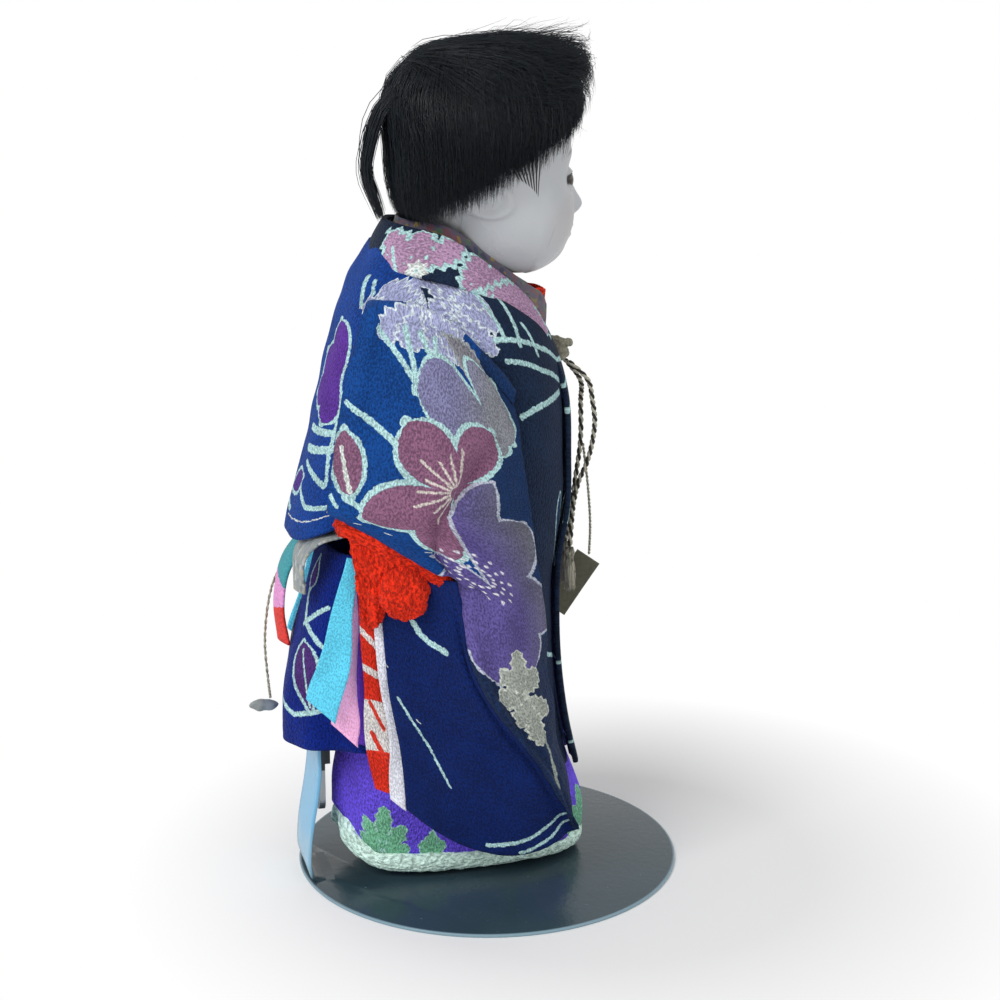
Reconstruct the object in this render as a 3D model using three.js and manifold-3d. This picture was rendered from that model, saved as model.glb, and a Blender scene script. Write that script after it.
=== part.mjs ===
// An ichimatsu doll in a haori and long-sleeved kimono, held by a round sheet-steel doll stand.
// Millimetres. The origin is the middle of the stand's underside, Z is up and the doll faces -Y.
import * as THREE from "three";
import { mergeVertices } from "three/addons/utils/BufferGeometryUtils.js";
import Module from "manifold-3d";

const wasm = await Module();
wasm.setup();

// Fits shared by every piece.
const GAP = 0.3;
const CLOTH = 0.9;
const THIN_CLOTH = 0.6;

// Stand: a round plate whose tongue is bent up at the back, a flat post that slides in a guide, a wire grip.
const BASE_RADIUS = 57;
const STEEL = 1.0;
const TONGUE_WIDTH = 20;
const TONGUE_TOP = 60;
const TONGUE_Y = 52.6;
const POST_WIDTH = 8;
const POST_THICK = 1.8;
const POST_FOOT = 20;
const POST_TOP = 74;
const GUIDE_LOW = 36;
const GUIDE_HIGH = 56;
const GUIDE_WALL = 1.0;
const WIRE_RADIUS = 1.2;
const GRIP_Z = 67;
const TIP_RADIUS = 1.5;
const TIP_LENGTH = 5;
const RIVET_RADIUS = 1.5;

// Doll: a composition torso and head, cloth upper limbs, composition hands and shins.
const NECK_Y = 5;
const NECK_RADIUS = 8.2;
const PEG_RADIUS = 6;
const TORSO_LOW = 94;
const TORSO_TOP = 172;
const PEG_DEPTH = 18;
const SHOULDER_Y = 20;
const SHOULDER_Z = 154;
const ARM_RADIUS = 4.4;
const HIP_X = 6.6;
const HIP_Y = 10;
const THIGH_RADIUS = 6;
const SHIN_RADIUS = 4.6;
const KNEE_Z = 50;
const SOLE_LIFT = 1.5;
const SOLE_Z = STEEL + SOLE_LIFT;
const HEAD_RISE = 35;
const HEAD_Z = TORSO_TOP + HEAD_RISE;
const SKULL_HALF = 26;
const SKULL_FRONT = 27;
const SKULL_BACK = 22.5;
const SKULL_HIGH = 26;
const FACE_HALF = 22.5;
const FACE_DEPTH = 16.2;
const FACE_LOW = 20.4;
const EYE_RADIUS = 4.3;
const EYE_X = 10.2;
const EYE_Y = -19;
const EYE_Z = HEAD_Z - 1.5;
const HAIR_SIDE = 2.6;
const HAIR_FRONT = 4.5;
const HAIR_BACK = 3.9;
const HAIR_TOP = 5;
const FRINGE_RISE = 2.5;
const FRINGE_SLOPE = 0.61;

// Clothes: distances out from the body's outline, and heights.
const JUBAN_OUT = 1.4;
const KIMONO_OUT = 2.8;
const KIMONO_LAP = 1.8;
const OBI_OUT = 6.9;
const OBI_THICK = 2.0;
const OBI_LOW = 97;
const OBI_HIGH = 121;
const JUBAN_HEM = 40;
const HEM_ROLL = 2.0;
const HEM_Z = 5.6;
const HEM_LIFT = 15;
const HAORI_HEM = 31;
const BACK_HEM = 45.5;
const TUCK_Z = 106;
const TUCK_RISE = 20;
const COLLAR_THICK = 1.6;

// Cords.
const HIMO_RADIUS = 0.75;
const THREAD_RADIUS = 0.4;

// Outlines by height: [z, half width, front y, back y]. A lower roundness gives squarer corners.
const BODY_ROUND = 0.86;
const HAORI_ROUND = 0.76;
const BODY = [
  [0, 10.6, -23.4, 42],
  [18, 12.4, -24, 43],
  [32, 13.8, -19.2, 42.4],
  [46, 14.4, -15.2, 40],
  [70, 15.2, -11.8, 37],
  [95, 15.4, -8, 30],
  [112, 15, -6, 26],
  [140, 16.6, -7, 27],
  [TORSO_TOP - 14, 18.6, -6, 28],
  [TORSO_TOP - 6, 17, -5, 28],
  [TORSO_TOP + 2, 13, -3, 25],
  [TORSO_TOP + 10, 11.5, -2, 23],
];
const HAORI = [
  [28, 23.4, -24.4, 60],
  [45, 23.8, -20.8, 60],
  [62, 24.9, -18.6, 60],
  [78, 25, -17.9, 59.6],
  [95, 24.6, -18.3, 59.4],
  [111, 24.6, -20.8, 57.6],
  [126, 24.7, -21, 53.4],
  [148, 24.8, -20, 48],
  [TORSO_TOP - 8, 24.8, -16.6, 43.6],
  [TORSO_TOP + 1, 23.8, -10.6, 41],
  [TORSO_TOP + 7, 20.5, -3.4, 39],
  [TORSO_TOP + 12, 17, 4, 35.2],
  [TORSO_TOP + 18, 14.6, 9, 31.5],
];
const HAORI_SKIRT = [
  [34, 24, -22, 61.6],
  [60, 24.4, -20, 60.6],
  [88, 24.4, -14, 53.5],
  [106, 24.4, -9, 47],
];

// Rows of numbers read as a smooth curve of their first column.
function smoothRow(rows, z) {
  let i = 0;
  while (i < rows.length - 2 && z > rows[i + 1][0]) {
    i += 1;
  }
  const [a, b] = [rows[i], rows[i + 1]];
  const before = rows[Math.max(i - 1, 0)];
  const after = rows[Math.min(i + 2, rows.length - 1)];
  const span = b[0] - a[0];
  const t = THREE.MathUtils.clamp((z - a[0]) / span, 0, 1);
  return a.map((value, k) => {
    const m0 = ((b[k] - before[k]) / (b[0] - before[0])) * span;
    const m1 = ((after[k] - value) / (after[0] - a[0])) * span;
    const t2 = t * t;
    const t3 = t2 * t;
    return (2 * t3 - 3 * t2 + 1) * value + (t3 - 2 * t2 + t) * m0 + (3 * t2 - 2 * t3) * b[k] + (t3 - t2) * m1;
  });
}

const signedPower = (value, power) => Math.sign(value) * Math.abs(value) ** power;

// A point on an outline: 0 degrees is the doll's front, 90 its left side, 180 its back.
function around(rows, degrees, z, out, round = BODY_ROUND) {
  const [, half, front, back] = smoothRow(rows, z);
  const angle = THREE.MathUtils.degToRad(degrees);
  const depth = (back - front) / 2 + out;
  const x = (half + out) * signedPower(Math.sin(angle), round);
  const y = (front + back) / 2 - depth * signedPower(Math.cos(angle), round);
  return new THREE.Vector3(x, y, z);
}

// Solids and booleans.
function outward(geometry) {
  const position = geometry.getAttribute("position");
  const index = geometry.getIndex().array;
  const [a, b, c] = [new THREE.Vector3(), new THREE.Vector3(), new THREE.Vector3()];
  let volume = 0;
  for (let i = 0; i < index.length; i += 3) {
    a.fromBufferAttribute(position, index[i]);
    b.fromBufferAttribute(position, index[i + 1]);
    c.fromBufferAttribute(position, index[i + 2]);
    volume += a.dot(b.cross(c));
  }
  if (volume < 0) {
    for (let i = 0; i < index.length; i += 3) {
      [index[i], index[i + 1]] = [index[i + 1], index[i]];
    }
  }
  return geometry;
}

function toSolid(geometry) {
  const plain = geometry.clone();
  plain.deleteAttribute("normal");
  plain.deleteAttribute("uv");
  const merged = outward(mergeVertices(plain, 1e-4));
  const vertProperties = new Float32Array(merged.getAttribute("position").array);
  const triVerts = new Uint32Array(merged.getIndex().array);
  return new wasm.Manifold(new wasm.Mesh({ numProp: 3, vertProperties, triVerts }));
}

function toGeometry(solid) {
  const mesh = solid.getMesh();
  const geometry = new THREE.BufferGeometry();
  geometry.setAttribute("position", new THREE.BufferAttribute(new Float32Array(mesh.vertProperties), 3));
  geometry.setIndex(new THREE.BufferAttribute(new Uint32Array(mesh.triVerts), 1));
  geometry.computeVertexNormals();
  return geometry;
}

const join = (...list) => toGeometry(list.map(toSolid).reduce((sum, solid) => sum.add(solid)));
const largest = (solid) => solid.decompose().sort((a, b) => b.volume() - a.volume())[0];
const cut = (geometry, ...tools) =>
  toGeometry(largest(tools.map(toSolid).reduce((left, tool) => left.subtract(tool), toSolid(geometry))));

// Cloth: a surface of (u, v), each 0 to 1, given a thickness on both sides of it.
function sheet(surface, across, along, thick, ring = false) {
  const columns = ring ? across : across + 1;
  const points = [];
  const step = 1e-3;
  for (const side of [1, -1]) {
    for (let j = 0; j <= along; j += 1) {
      for (let i = 0; i < columns; i += 1) {
        const [u, v] = [i / across, j / along];
        const [u0, u1] = ring ? [u - step, u + step] : [Math.max(u - step, 0), Math.min(u + step, 1)];
        const du = surface(u1, v).sub(surface(u0, v));
        const dv = surface(u, Math.min(v + step, 1)).sub(surface(u, Math.max(v - step, 0)));
        const normal = du.cross(dv).normalize();
        points.push(surface(u, v).addScaledVector(normal, (side * thick) / 2));
      }
    }
  }
  const layer = columns * (along + 1);
  const at = (i, j, k) => k * layer + j * columns + (i % columns);
  const index = [];
  const quad = (a, b, c, d) => index.push(a, b, c, a, c, d);
  for (let j = 0; j < along; j += 1) {
    for (let i = 0; i < across; i += 1) {
      quad(at(i, j, 0), at(i + 1, j, 0), at(i + 1, j + 1, 0), at(i, j + 1, 0));
      quad(at(i, j + 1, 1), at(i + 1, j + 1, 1), at(i + 1, j, 1), at(i, j, 1));
    }
  }
  for (let i = 0; i < across; i += 1) {
    quad(at(i, 0, 1), at(i + 1, 0, 1), at(i + 1, 0, 0), at(i, 0, 0));
    quad(at(i, along, 0), at(i + 1, along, 0), at(i + 1, along, 1), at(i, along, 1));
  }
  if (!ring) {
    for (let j = 0; j < along; j += 1) {
      quad(at(0, j, 0), at(0, j + 1, 0), at(0, j + 1, 1), at(0, j, 1));
      quad(at(across, j, 1), at(across, j + 1, 1), at(across, j + 1, 0), at(across, j, 0));
    }
  }
  const geometry = new THREE.BufferGeometry().setFromPoints(points);
  geometry.setIndex(index);
  return outward(geometry);
}

// A closed skin over a grid of rings, with a point at each end.
function skin(rings) {
  const count = rings[0].length;
  const middle = (ring) => ring.reduce((sum, p) => sum.add(p), new THREE.Vector3()).divideScalar(count);
  const points = rings.flat();
  const index = [];
  for (let j = 0; j < rings.length - 1; j += 1) {
    for (let i = 0; i < count; i += 1) {
      const [a, b] = [j * count + i, j * count + ((i + 1) % count)];
      index.push(a, b, b + count, a, b + count, a + count);
    }
  }
  const [low, high] = [points.length, points.length + 1];
  const last = (rings.length - 1) * count;
  for (let i = 0; i < count; i += 1) {
    index.push(low, (i + 1) % count, i);
    index.push(high, last + i, last + ((i + 1) % count));
  }
  points.push(middle(rings[0]), middle(rings[rings.length - 1]));
  const geometry = new THREE.BufferGeometry().setFromPoints(points);
  geometry.setIndex(index);
  return outward(geometry);
}

function curve(points) {
  const spots = points.map((p) => new THREE.Vector3(...p));
  return new THREE.CatmullRomCurve3(spots, false, "centripetal");
}

function tube(path, radius, steps, sides = 8) {
  const shape = new THREE.Shape();
  shape.absarc(0, 0, radius, 0, 2 * Math.PI, false);
  const curveSegments = sides / 2;
  return new THREE.ExtrudeGeometry(shape, { steps, curveSegments, extrudePath: path, bevelEnabled: false });
}

const lathe = (profile, segments) =>
  new THREE.LatheGeometry(profile.map((p) => new THREE.Vector2(...p)), segments);
const upright = (geometry) => geometry.rotateX(Math.PI / 2);
const ball = (radius, wide, high) => new THREE.SphereGeometry(radius, wide, high);
const rod = (radius, length, sides) => new THREE.CylinderGeometry(radius, radius, length, sides);
const sideways = (geometry, x, y, z) => geometry.rotateZ(Math.PI / 2).translate(x, y, z);

// Finishes.
const paint = (color, roughness, metalness = 0) =>
  new THREE.MeshStandardMaterial({ color, roughness, metalness });
const ENAMEL = paint(0x6f8794, 0.35, 0.3);
const DARK_STEEL = paint(0x2b3034, 0.45, 0.6);
const BRIGHT_STEEL = paint(0xb4bcc2, 0.3, 0.9);
const VINYL = paint(0xe8e6dc, 0.6);
const GOFUN = paint(0xe3dfdf, 0.3);
const COMPOSITION = paint(0xb9a184, 0.8);
const COTTON = paint(0xd8cdb8, 0.9);
const EYE = paint(0x120d0b, 0.08);
const HAIR = paint(0x0b0e12, 0.55);
const BLUE_CREPE = paint(0x1d3a7a, 0.75);
const DEEP_BLUE = paint(0x163069, 0.75);
const PURPLE_CREPE = paint(0x4d2fa0, 0.75);
const MINT_CREPE = paint(0xbfe6cf, 0.75);
const RED_CREPE = paint(0xe03a24, 0.75);
const STRIPED_CREPE = paint(0xd9646a, 0.75);
const PINK_SILK = paint(0xe79ad8, 0.6);
const AQUA_SILK = paint(0x5fc8dc, 0.6);
const WHITE_SILK = paint(0xdfe3ef, 0.6);
const BROCADE = paint(0x7d6d80, 0.5);
const SILVER_BROCADE = paint(0xa9b0ae, 0.45, 0.2);
const OLIVE_SILK = paint(0x6d6b5a, 0.7);
const CARD = paint(0x79776a, 0.85);
const THREAD = paint(0xd5d3c8, 0.8);

const doll = new THREE.Group();
doll.name = "ichimatsu_doll";
function place(name, geometry, material, parent = doll) {
  geometry.computeVertexNormals();
  const mesh = new THREE.Mesh(geometry, material);
  mesh.name = name;
  parent.add(mesh);
  return mesh;
}
const SIDES = [["right", -1], ["left", 1]];
const mirrored = (geometry, side) => (side < 0 ? geometry : outward(geometry.scale(-1, 1, 1)));

// The stand's plate, with the tongue cut from it and bent up.
const plate = upright(
  lathe([[0, 0], [BASE_RADIUS - 0.4, 0], [BASE_RADIUS, 0.3], [BASE_RADIUS, STEEL - 0.3],
    [BASE_RADIUS - 0.4, STEEL], [0, STEEL]], 44),
);
const tongueLine = curve([[0, TONGUE_Y - 4.6, STEEL / 2], [0, TONGUE_Y - 0.6, STEEL / 2 + 0.1],
  [0, TONGUE_Y + 2.2, STEEL + 0.7], [0, TONGUE_Y + 3.4, STEEL + 3.6], [0, TONGUE_Y + 3.2, STEEL + 12],
  [0, TONGUE_Y + 0.8, GUIDE_LOW - 8], [0, TONGUE_Y, GUIDE_LOW - 1], [0, TONGUE_Y, GUIDE_LOW + 4],
  [0, TONGUE_Y, TONGUE_TOP]]);
const tongue = sheet((u, v) => tongueLine.getPoint(v).add(new THREE.Vector3((u - 0.5) * TONGUE_WIDTH, 0, 0)),
  1, 18, STEEL);
place("stand_base", join(plate, tongue), ENAMEL);

const postY = TONGUE_Y - STEEL / 2 - GAP - POST_THICK / 2;
const postLine = new THREE.Shape();
postLine.moveTo(-POST_WIDTH / 2, POST_TOP);
postLine.lineTo(-POST_WIDTH / 2, POST_FOOT + POST_WIDTH / 2);
postLine.absarc(0, POST_FOOT + POST_WIDTH / 2, POST_WIDTH / 2, Math.PI, 2 * Math.PI, false);
postLine.lineTo(POST_WIDTH / 2, POST_TOP);
const postCut = { depth: POST_THICK, curveSegments: 8, bevelEnabled: false };
const postBlank = new THREE.ExtrudeGeometry(postLine, postCut);
upright(postBlank).translate(0, postY + POST_THICK / 2, 0);
place("stand_post", postBlank, BRIGHT_STEEL);

// The guide is a folded strap on the tongue; two rivets hold its flanges.
const guideWide = POST_WIDTH + 2 * (GAP + GUIDE_WALL);
const guideFront = postY - POST_THICK / 2 - GAP - GUIDE_WALL;
const guideBack = TONGUE_Y - STEEL / 2 - 0.05;
const guideHigh = GUIDE_HIGH - GUIDE_LOW;
const guideMid = (GUIDE_HIGH + GUIDE_LOW) / 2;
const strap = new THREE.BoxGeometry(guideWide, guideBack - guideFront, guideHigh);
strap.translate(0, (guideBack + guideFront) / 2, guideMid);
const flange = new THREE.BoxGeometry(TONGUE_WIDTH, GUIDE_WALL, guideHigh);
flange.translate(0, guideBack - GUIDE_WALL / 2, guideMid);
const slot = new THREE.BoxGeometry(POST_WIDTH + 2 * GAP, POST_THICK + 2 * GAP, guideHigh + 4);
slot.translate(0, postY, guideMid);
place("post_guide", cut(join(strap, flange), slot), DARK_STEEL);
for (const [name, side] of SIDES) {
  const head = lathe([[0, 0], [RIVET_RADIUS, 0], [RIVET_RADIUS * 0.7, 0.7], [0, 0.9]], 10);
  const rivet = place(`guide_rivet_${name}`, head, BRIGHT_STEEL);
  rivet.rotation.x = Math.PI;
  rivet.position.set(side * (guideWide / 2 + RIVET_RADIUS + 0.2), guideBack - GUIDE_WALL - 0.05, guideMid);
}

// The grip is one wire bent round the waist, open at the front, with a vinyl sleeve on each end.
const gripOut = KIMONO_OUT + KIMONO_LAP + CLOTH / 2 + WIRE_RADIUS + GAP;
const gripHalf = [-89, -98, -109, -124, -142].map((turn) => around(BODY, turn, GRIP_Z, gripOut).toArray());
const gripBack = [0, postY - POST_THICK / 2 - WIRE_RADIUS - 0.1, GRIP_Z];
const grip = curve([...gripHalf, gripBack, ...gripHalf.map(([x, y, z]) => [-x, y, z]).reverse()]);
place("waist_grip", tube(grip, WIRE_RADIUS, 30), BRIGHT_STEEL);
for (const [name, side] of SIDES) {
  const end = grip.getPoint(side < 0 ? 0 : 1);
  const way = grip.getTangent(side < 0 ? 0 : 1).multiplyScalar(side);
  const cap = lathe([[0, 0], [TIP_RADIUS * 0.7, 0], [TIP_RADIUS, 0.8], [TIP_RADIUS, TIP_LENGTH - 1.4],
    [TIP_RADIUS * 0.6, TIP_LENGTH - 0.2], [0, TIP_LENGTH]], 10);
  const tip = place(`grip_tip_${name}`, cap, VINYL);
  tip.quaternion.setFromUnitVectors(new THREE.Vector3(0, 1, 0), way);
  tip.position.copy(end).addScaledVector(way, 0.1);
}
// The torso, with a socket for the neck.
const ringOf = (rows, z, out, count) =>
  Array.from({ length: count }, (_, i) => around(rows, (360 * i) / count, z, out));
const torsoLevels = [TORSO_LOW, 103, 112, 126, 140, 150, 158, 163, 168, TORSO_TOP];
const torsoSkin = skin(torsoLevels.map((z) => ringOf(BODY, z, 0, 18)));
const socket = upright(rod(PEG_RADIUS + GAP, 2 * PEG_DEPTH, 20)).translate(0, NECK_Y, TORSO_TOP);
place("torso", cut(torsoSkin, socket), COMPOSITION);

// The head: a skull and a rounded baby face, blended, with nose, brow, lips and ears raised.
const HEAD_CENTRE = new THREE.Vector3(0, 1, HEAD_Z);
function reach(direction, centre, radii, power) {
  let [low, high] = [0, 60];
  for (let i = 0; i < 30; i += 1) {
    const middle = (low + high) / 2;
    const p = HEAD_CENTRE.clone().addScaledVector(direction, middle).sub(centre);
    const ry = p.y < 0 ? radii[1] : radii[2];
    const rz = p.z < 0 ? radii[4] : radii[3];
    const size = Math.abs(p.x / radii[0]) ** power + Math.abs(p.y / ry) ** power + Math.abs(p.z / rz) ** power;
    [low, high] = size < 1 ? [middle, high] : [low, middle];
  }
  return low;
}
const SKULL_SIZE = [SKULL_HALF, SKULL_FRONT, SKULL_BACK, SKULL_HIGH, 19];
const SKULL = [new THREE.Vector3(0, 4, HEAD_Z + 7), SKULL_SIZE, 2.1];
const FACE_SIZE = [FACE_HALF, FACE_DEPTH, 13, 21, FACE_LOW];
const FACE = [new THREE.Vector3(0, -8.6, HEAD_Z - 8), FACE_SIZE, 2.3];
const bump = (p, x, y, z, sx, sz) =>
  Math.exp(-(((p.x - x) / sx) ** 2) - ((p.z - z) / sz) ** 2) * (p.y < y ? 1 : 0);
function headPoint(degrees, tilt, out) {
  const [a, b] = [THREE.MathUtils.degToRad(degrees), THREE.MathUtils.degToRad(tilt)];
  const way = new THREE.Vector3(Math.sin(a) * Math.cos(b), -Math.cos(a) * Math.cos(b), Math.sin(b));
  const [r1, r2] = [reach(way, ...SKULL), reach(way, ...FACE)];
  const soft = 2.2;
  const r = soft * Math.log(Math.exp(r1 / soft) + Math.exp(r2 / soft));
  const p = HEAD_CENTRE.clone().addScaledVector(way, r);
  const side = Math.abs(p.x);
  const flat = new THREE.Vector3(side, p.y, p.z);
  const raised = 3.0 * bump(p, 0, -10, HEAD_Z - 9.5, 3.2, 4.2) + 0.9 * bump(p, 0, -10, HEAD_Z - 18.5, 6, 3)
    - 1.0 * bump(flat, EYE_X, -10, EYE_Z, 6, 4.5);
  const ear = 2.2 * Math.exp(-(((p.y - 4) / 4.5) ** 2) - ((p.z - HEAD_Z + 6) / 6) ** 2) * (side > 15 ? 1 : 0);
  return p.addScaledVector(way, raised + ear + out);
}
const turns = Array.from({ length: 26 }, (_, i) => {
  const t = i / 26;
  return 360 * t - 22 * Math.sin(2 * Math.PI * t);
});
const tilts = [-84, -68, -54, -42, -33, -26, -19, -12, -5, 3, 14, 28, 44, 60, 78];
const headSkin = skin(tilts.map((tilt) => turns.map((turn) => headPoint(turn, tilt, 0))));
const neck = upright(
  lathe([[0, TORSO_TOP - PEG_DEPTH + GAP], [PEG_RADIUS, TORSO_TOP - PEG_DEPTH + GAP],
    [PEG_RADIUS, TORSO_TOP + GAP],
    [NECK_RADIUS, TORSO_TOP + GAP], [NECK_RADIUS - 0.6, TORSO_TOP + 8], [NECK_RADIUS + 0.8, TORSO_TOP + 11],
    [NECK_RADIUS + 3.2, TORSO_TOP + 17.5], [NECK_RADIUS + 6, TORSO_TOP + 23], [0, HEAD_Z - 7]], 20),
).translate(0, NECK_Y, 0);
const eyeAt = (side) => new THREE.Vector3(side * EYE_X, EYE_Y, EYE_Z);
const eyeHole = (side) => ball(EYE_RADIUS + GAP, 10, 8).translate(...eyeAt(side).toArray());
place("head", cut(join(headSkin, neck), eyeHole(-1), eyeHole(1)), GOFUN);
for (const [name, side] of SIDES) {
  const eye = place(`eye_${name}`, ball(EYE_RADIUS, 10, 6), EYE);
  eye.position.copy(eyeAt(side));
}

// The wig: a thick cap of hair cut on a slant from brow to nape, and a lock that stands off at the back.
const HAIR_CENTRE = new THREE.Vector3(0, 3.5, HEAD_Z + 7);
function hairPoint(degrees, tilt) {
  const [a, b] = [THREE.MathUtils.degToRad(degrees), THREE.MathUtils.degToRad(tilt)];
  const forward = Math.cos(a) > 0;
  const depth = forward ? SKULL_FRONT + HAIR_FRONT : SKULL_BACK + HAIR_BACK;
  const x = (SKULL_HALF + HAIR_SIDE) * signedPower(Math.sin(a), 0.9) * signedPower(Math.cos(b), 0.85);
  const y = -depth * signedPower(Math.cos(a), 0.9) * signedPower(Math.cos(b), forward ? 0.6 : 0.75);
  const z = (SKULL_HIGH + HAIR_TOP) * signedPower(Math.sin(b), 0.95);
  const lean = forward ? 0.22 * (z - 12) * Math.cos(a) * Math.cos(b) : 0;
  return HAIR_CENTRE.clone().add(new THREE.Vector3(x, y - lean, z));
}
const hairTurns = Array.from({ length: 24 }, (_, i) => 15 * i);
const mass = skin([-75, -55, -40, -26, -12, 2, 16, 30, 44, 58, 70, 82].map((tilt) =>
  hairTurns.map((turn) => hairPoint(turn, tilt))));
const scalp = skin([-84, -62, -44, -30, -18, -6, 8, 24, 42, 60, 78].map((tilt) =>
  Array.from({ length: 20 }, (_, i) => headPoint(18 * i, tilt, 1.3))));
const slant = new THREE.BoxGeometry(120, 160, 80);
slant.translate(0, 0, -40).rotateX(-Math.atan(FRINGE_SLOPE)).translate(0, 0, HEAD_Z + FRINGE_RISE);
const nape = new THREE.BoxGeometry(120, 120, 40).translate(0, 0, HEAD_Z - 10.4 - 20);
const wig = cut(mass, scalp, slant, nape);
place("wig", wig, HAIR);
const LOCK = [[23, 27], [28.6, 16], [29.9, 9], [30.9, 4], [30.5, -1], [28.5, -6.6], [26.9, -10.5]];
const lockLine = curve(LOCK.map(([back, rise]) => [0, HAIR_CENTRE.y + back, HEAD_Z + rise]));
const lockSkin = skin([0, 0.15, 0.35, 0.55, 0.75, 0.9, 1].map((t) => {
  const p = lockLine.getPoint(t);
  const size = 0.35 + 0.65 * Math.sin(Math.PI * Math.min(t * 0.8 + 0.15, 1));
  return Array.from({ length: 10 }, (_, i) => {
    const a = (2 * Math.PI * i) / 10;
    return new THREE.Vector3(p.x + 5 * size * Math.cos(a), p.y + 1.3 * size * Math.sin(a), p.z);
  });
}));
const fatMass = skin([-60, -35, -12, 2, 16, 30, 44, 58, 75].map((tilt) => hairTurns.map((turn) =>
  hairPoint(turn, tilt).sub(HAIR_CENTRE).multiplyScalar(1.025).add(HAIR_CENTRE))));
place("back_lock", cut(lockSkin, fatMass), HAIR);

// Legs: a stuffed thigh hung at the hip, a composition shin and foot pegged into it.
for (const [name, side] of SIDES) {
  const hipZ = TORSO_LOW - GAP - THIGH_RADIUS;
  const r = THIGH_RADIUS;
  const thigh = place(`thigh_${name}`, upright(lathe([[0, KNEE_Z + GAP], [r - 0.9, KNEE_Z + GAP], [r, KNEE_Z + 2],
    [r, hipZ], [r * 0.87, hipZ + r * 0.5], [r * 0.5, hipZ + r * 0.87], [0, hipZ + r]], 14)), COTTON);
  thigh.position.set(side * HIP_X, HIP_Y, 0);
  const shin = upright(lathe([[0, SOLE_Z + 3], [SHIN_RADIUS - 1, SOLE_Z + 3], [SHIN_RADIUS - 1.2, SOLE_Z + 14],
    [SHIN_RADIUS, 30], [SHIN_RADIUS - 0.4, KNEE_Z], [0, KNEE_Z]], 14));
  const foot = skin([0, 0.3, 0.7, 1].map((t) => Array.from({ length: 12 }, (_, i) => {
    const a = (2 * Math.PI * i) / 12;
    const size = 1 - 0.45 * t * t;
    return new THREE.Vector3(4.6 * size * Math.cos(a), -4 + 9 * size * Math.sin(a), SOLE_Z + 7 * t);
  })));
  const leg = place(`leg_${name}`, join(shin, foot), GOFUN);
  leg.position.set(side * HIP_X, HIP_Y, 0);
}

// Arms: a stuffed upper arm that turns on a stub through the armholes, a composition forearm and hand.
const ELBOW_X = -29.6;
const armLine = curve([[ELBOW_X, SHOULDER_Y, SHOULDER_Z], [-30.6, 20.6, 146], [-31.2, 22.4, 134],
  [-31.6, 24, 124]]);
const stub = (radius, long) => sideways(rod(radius, long, 10), ELBOW_X + long / 2, SHOULDER_Y, SHOULDER_Z);
const armSolid = (extra) => join(stub(ARM_RADIUS + extra, 10.4 + extra), tube(armLine, ARM_RADIUS + extra, 4, 8),
  ball(ARM_RADIUS + 0.15 + extra, 10, 6).translate(ELBOW_X, SHOULDER_Y, SHOULDER_Z));
const wristLine = curve([[-31.6, 24.1, 123.4], [-31.8, 25.5, 118], [-32, 27, 113]]);
const palm = ball(1, 8, 6).scale(2.6, 4.4, 6).translate(-32, 28, 109);
const thumb = ball(1, 6, 4).scale(1.4, 1.6, 4).rotateX(0.5).translate(-32.2, 23.8, 110.5);
const forearm = join(tube(wristLine, 3.3, 2, 8), palm, thumb);
const pouchSolid = (forward, extra) =>
  ball(1, 10, 6).scale(2.4 + extra, 5.6 + extra, 6.4 + extra).rotateX(0.35)
    .translate(-36.2, 31.5 - forward / 4, 99);

// Sleeve: an outer face from the front edge to the back fold, a rear face below the wrist, an inner face.
// The left sleeve lies further forward on the arm than the right one.
const SLEEVE_FORWARD = { right: 0, left: 9 };
const FRONT_EDGE = curve([[-26.6, -1, 146], [-26.9, -4, 126], [-27, -8, 102], [-27, -11.2, 70], [-27, -14.2, 45],
  [-28.5, -19.8, 20]]);
const CREASE = curve([[-40.5, 18.5, 101], [-41.5, 14, 75], [-40.5, 4, 56.5], [-38.5, -6.4, 42.5], [-34, -15, 27],
  [-29.5, -19.8, 18]]);
const BAG_REAR = curve([[-31.6, 38.5, 101], [-31.6, 36.5, 70], [-31.6, 33, 48], [-31.6, 31.5, 31]]);
const SLEEVE_ROWS = [
  [0, 1.5, 10],
  [0.07, 7.5, 8],
  [0.16, 9.6, 4],
  [0.3, 10.5, 0],
  [0.5, 7, 0],
  [0.75, 4, 0],
  [1, 1, 0],
];
const FOLD_END = 2 / 7;
const CREASE_START = 0.5;
const rearFold = (forward) =>
  curve([[-27, 42 - forward, 171], [-28.4, 48 - forward, 148], [-30, 52.5 - forward, 120]]);
const wristEdge = (forward) =>
  curve([[-30, 52.5 - forward, 120], [-36.5, 36 - forward / 3, 111], [-40.5, 18.5, 101]]);
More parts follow.
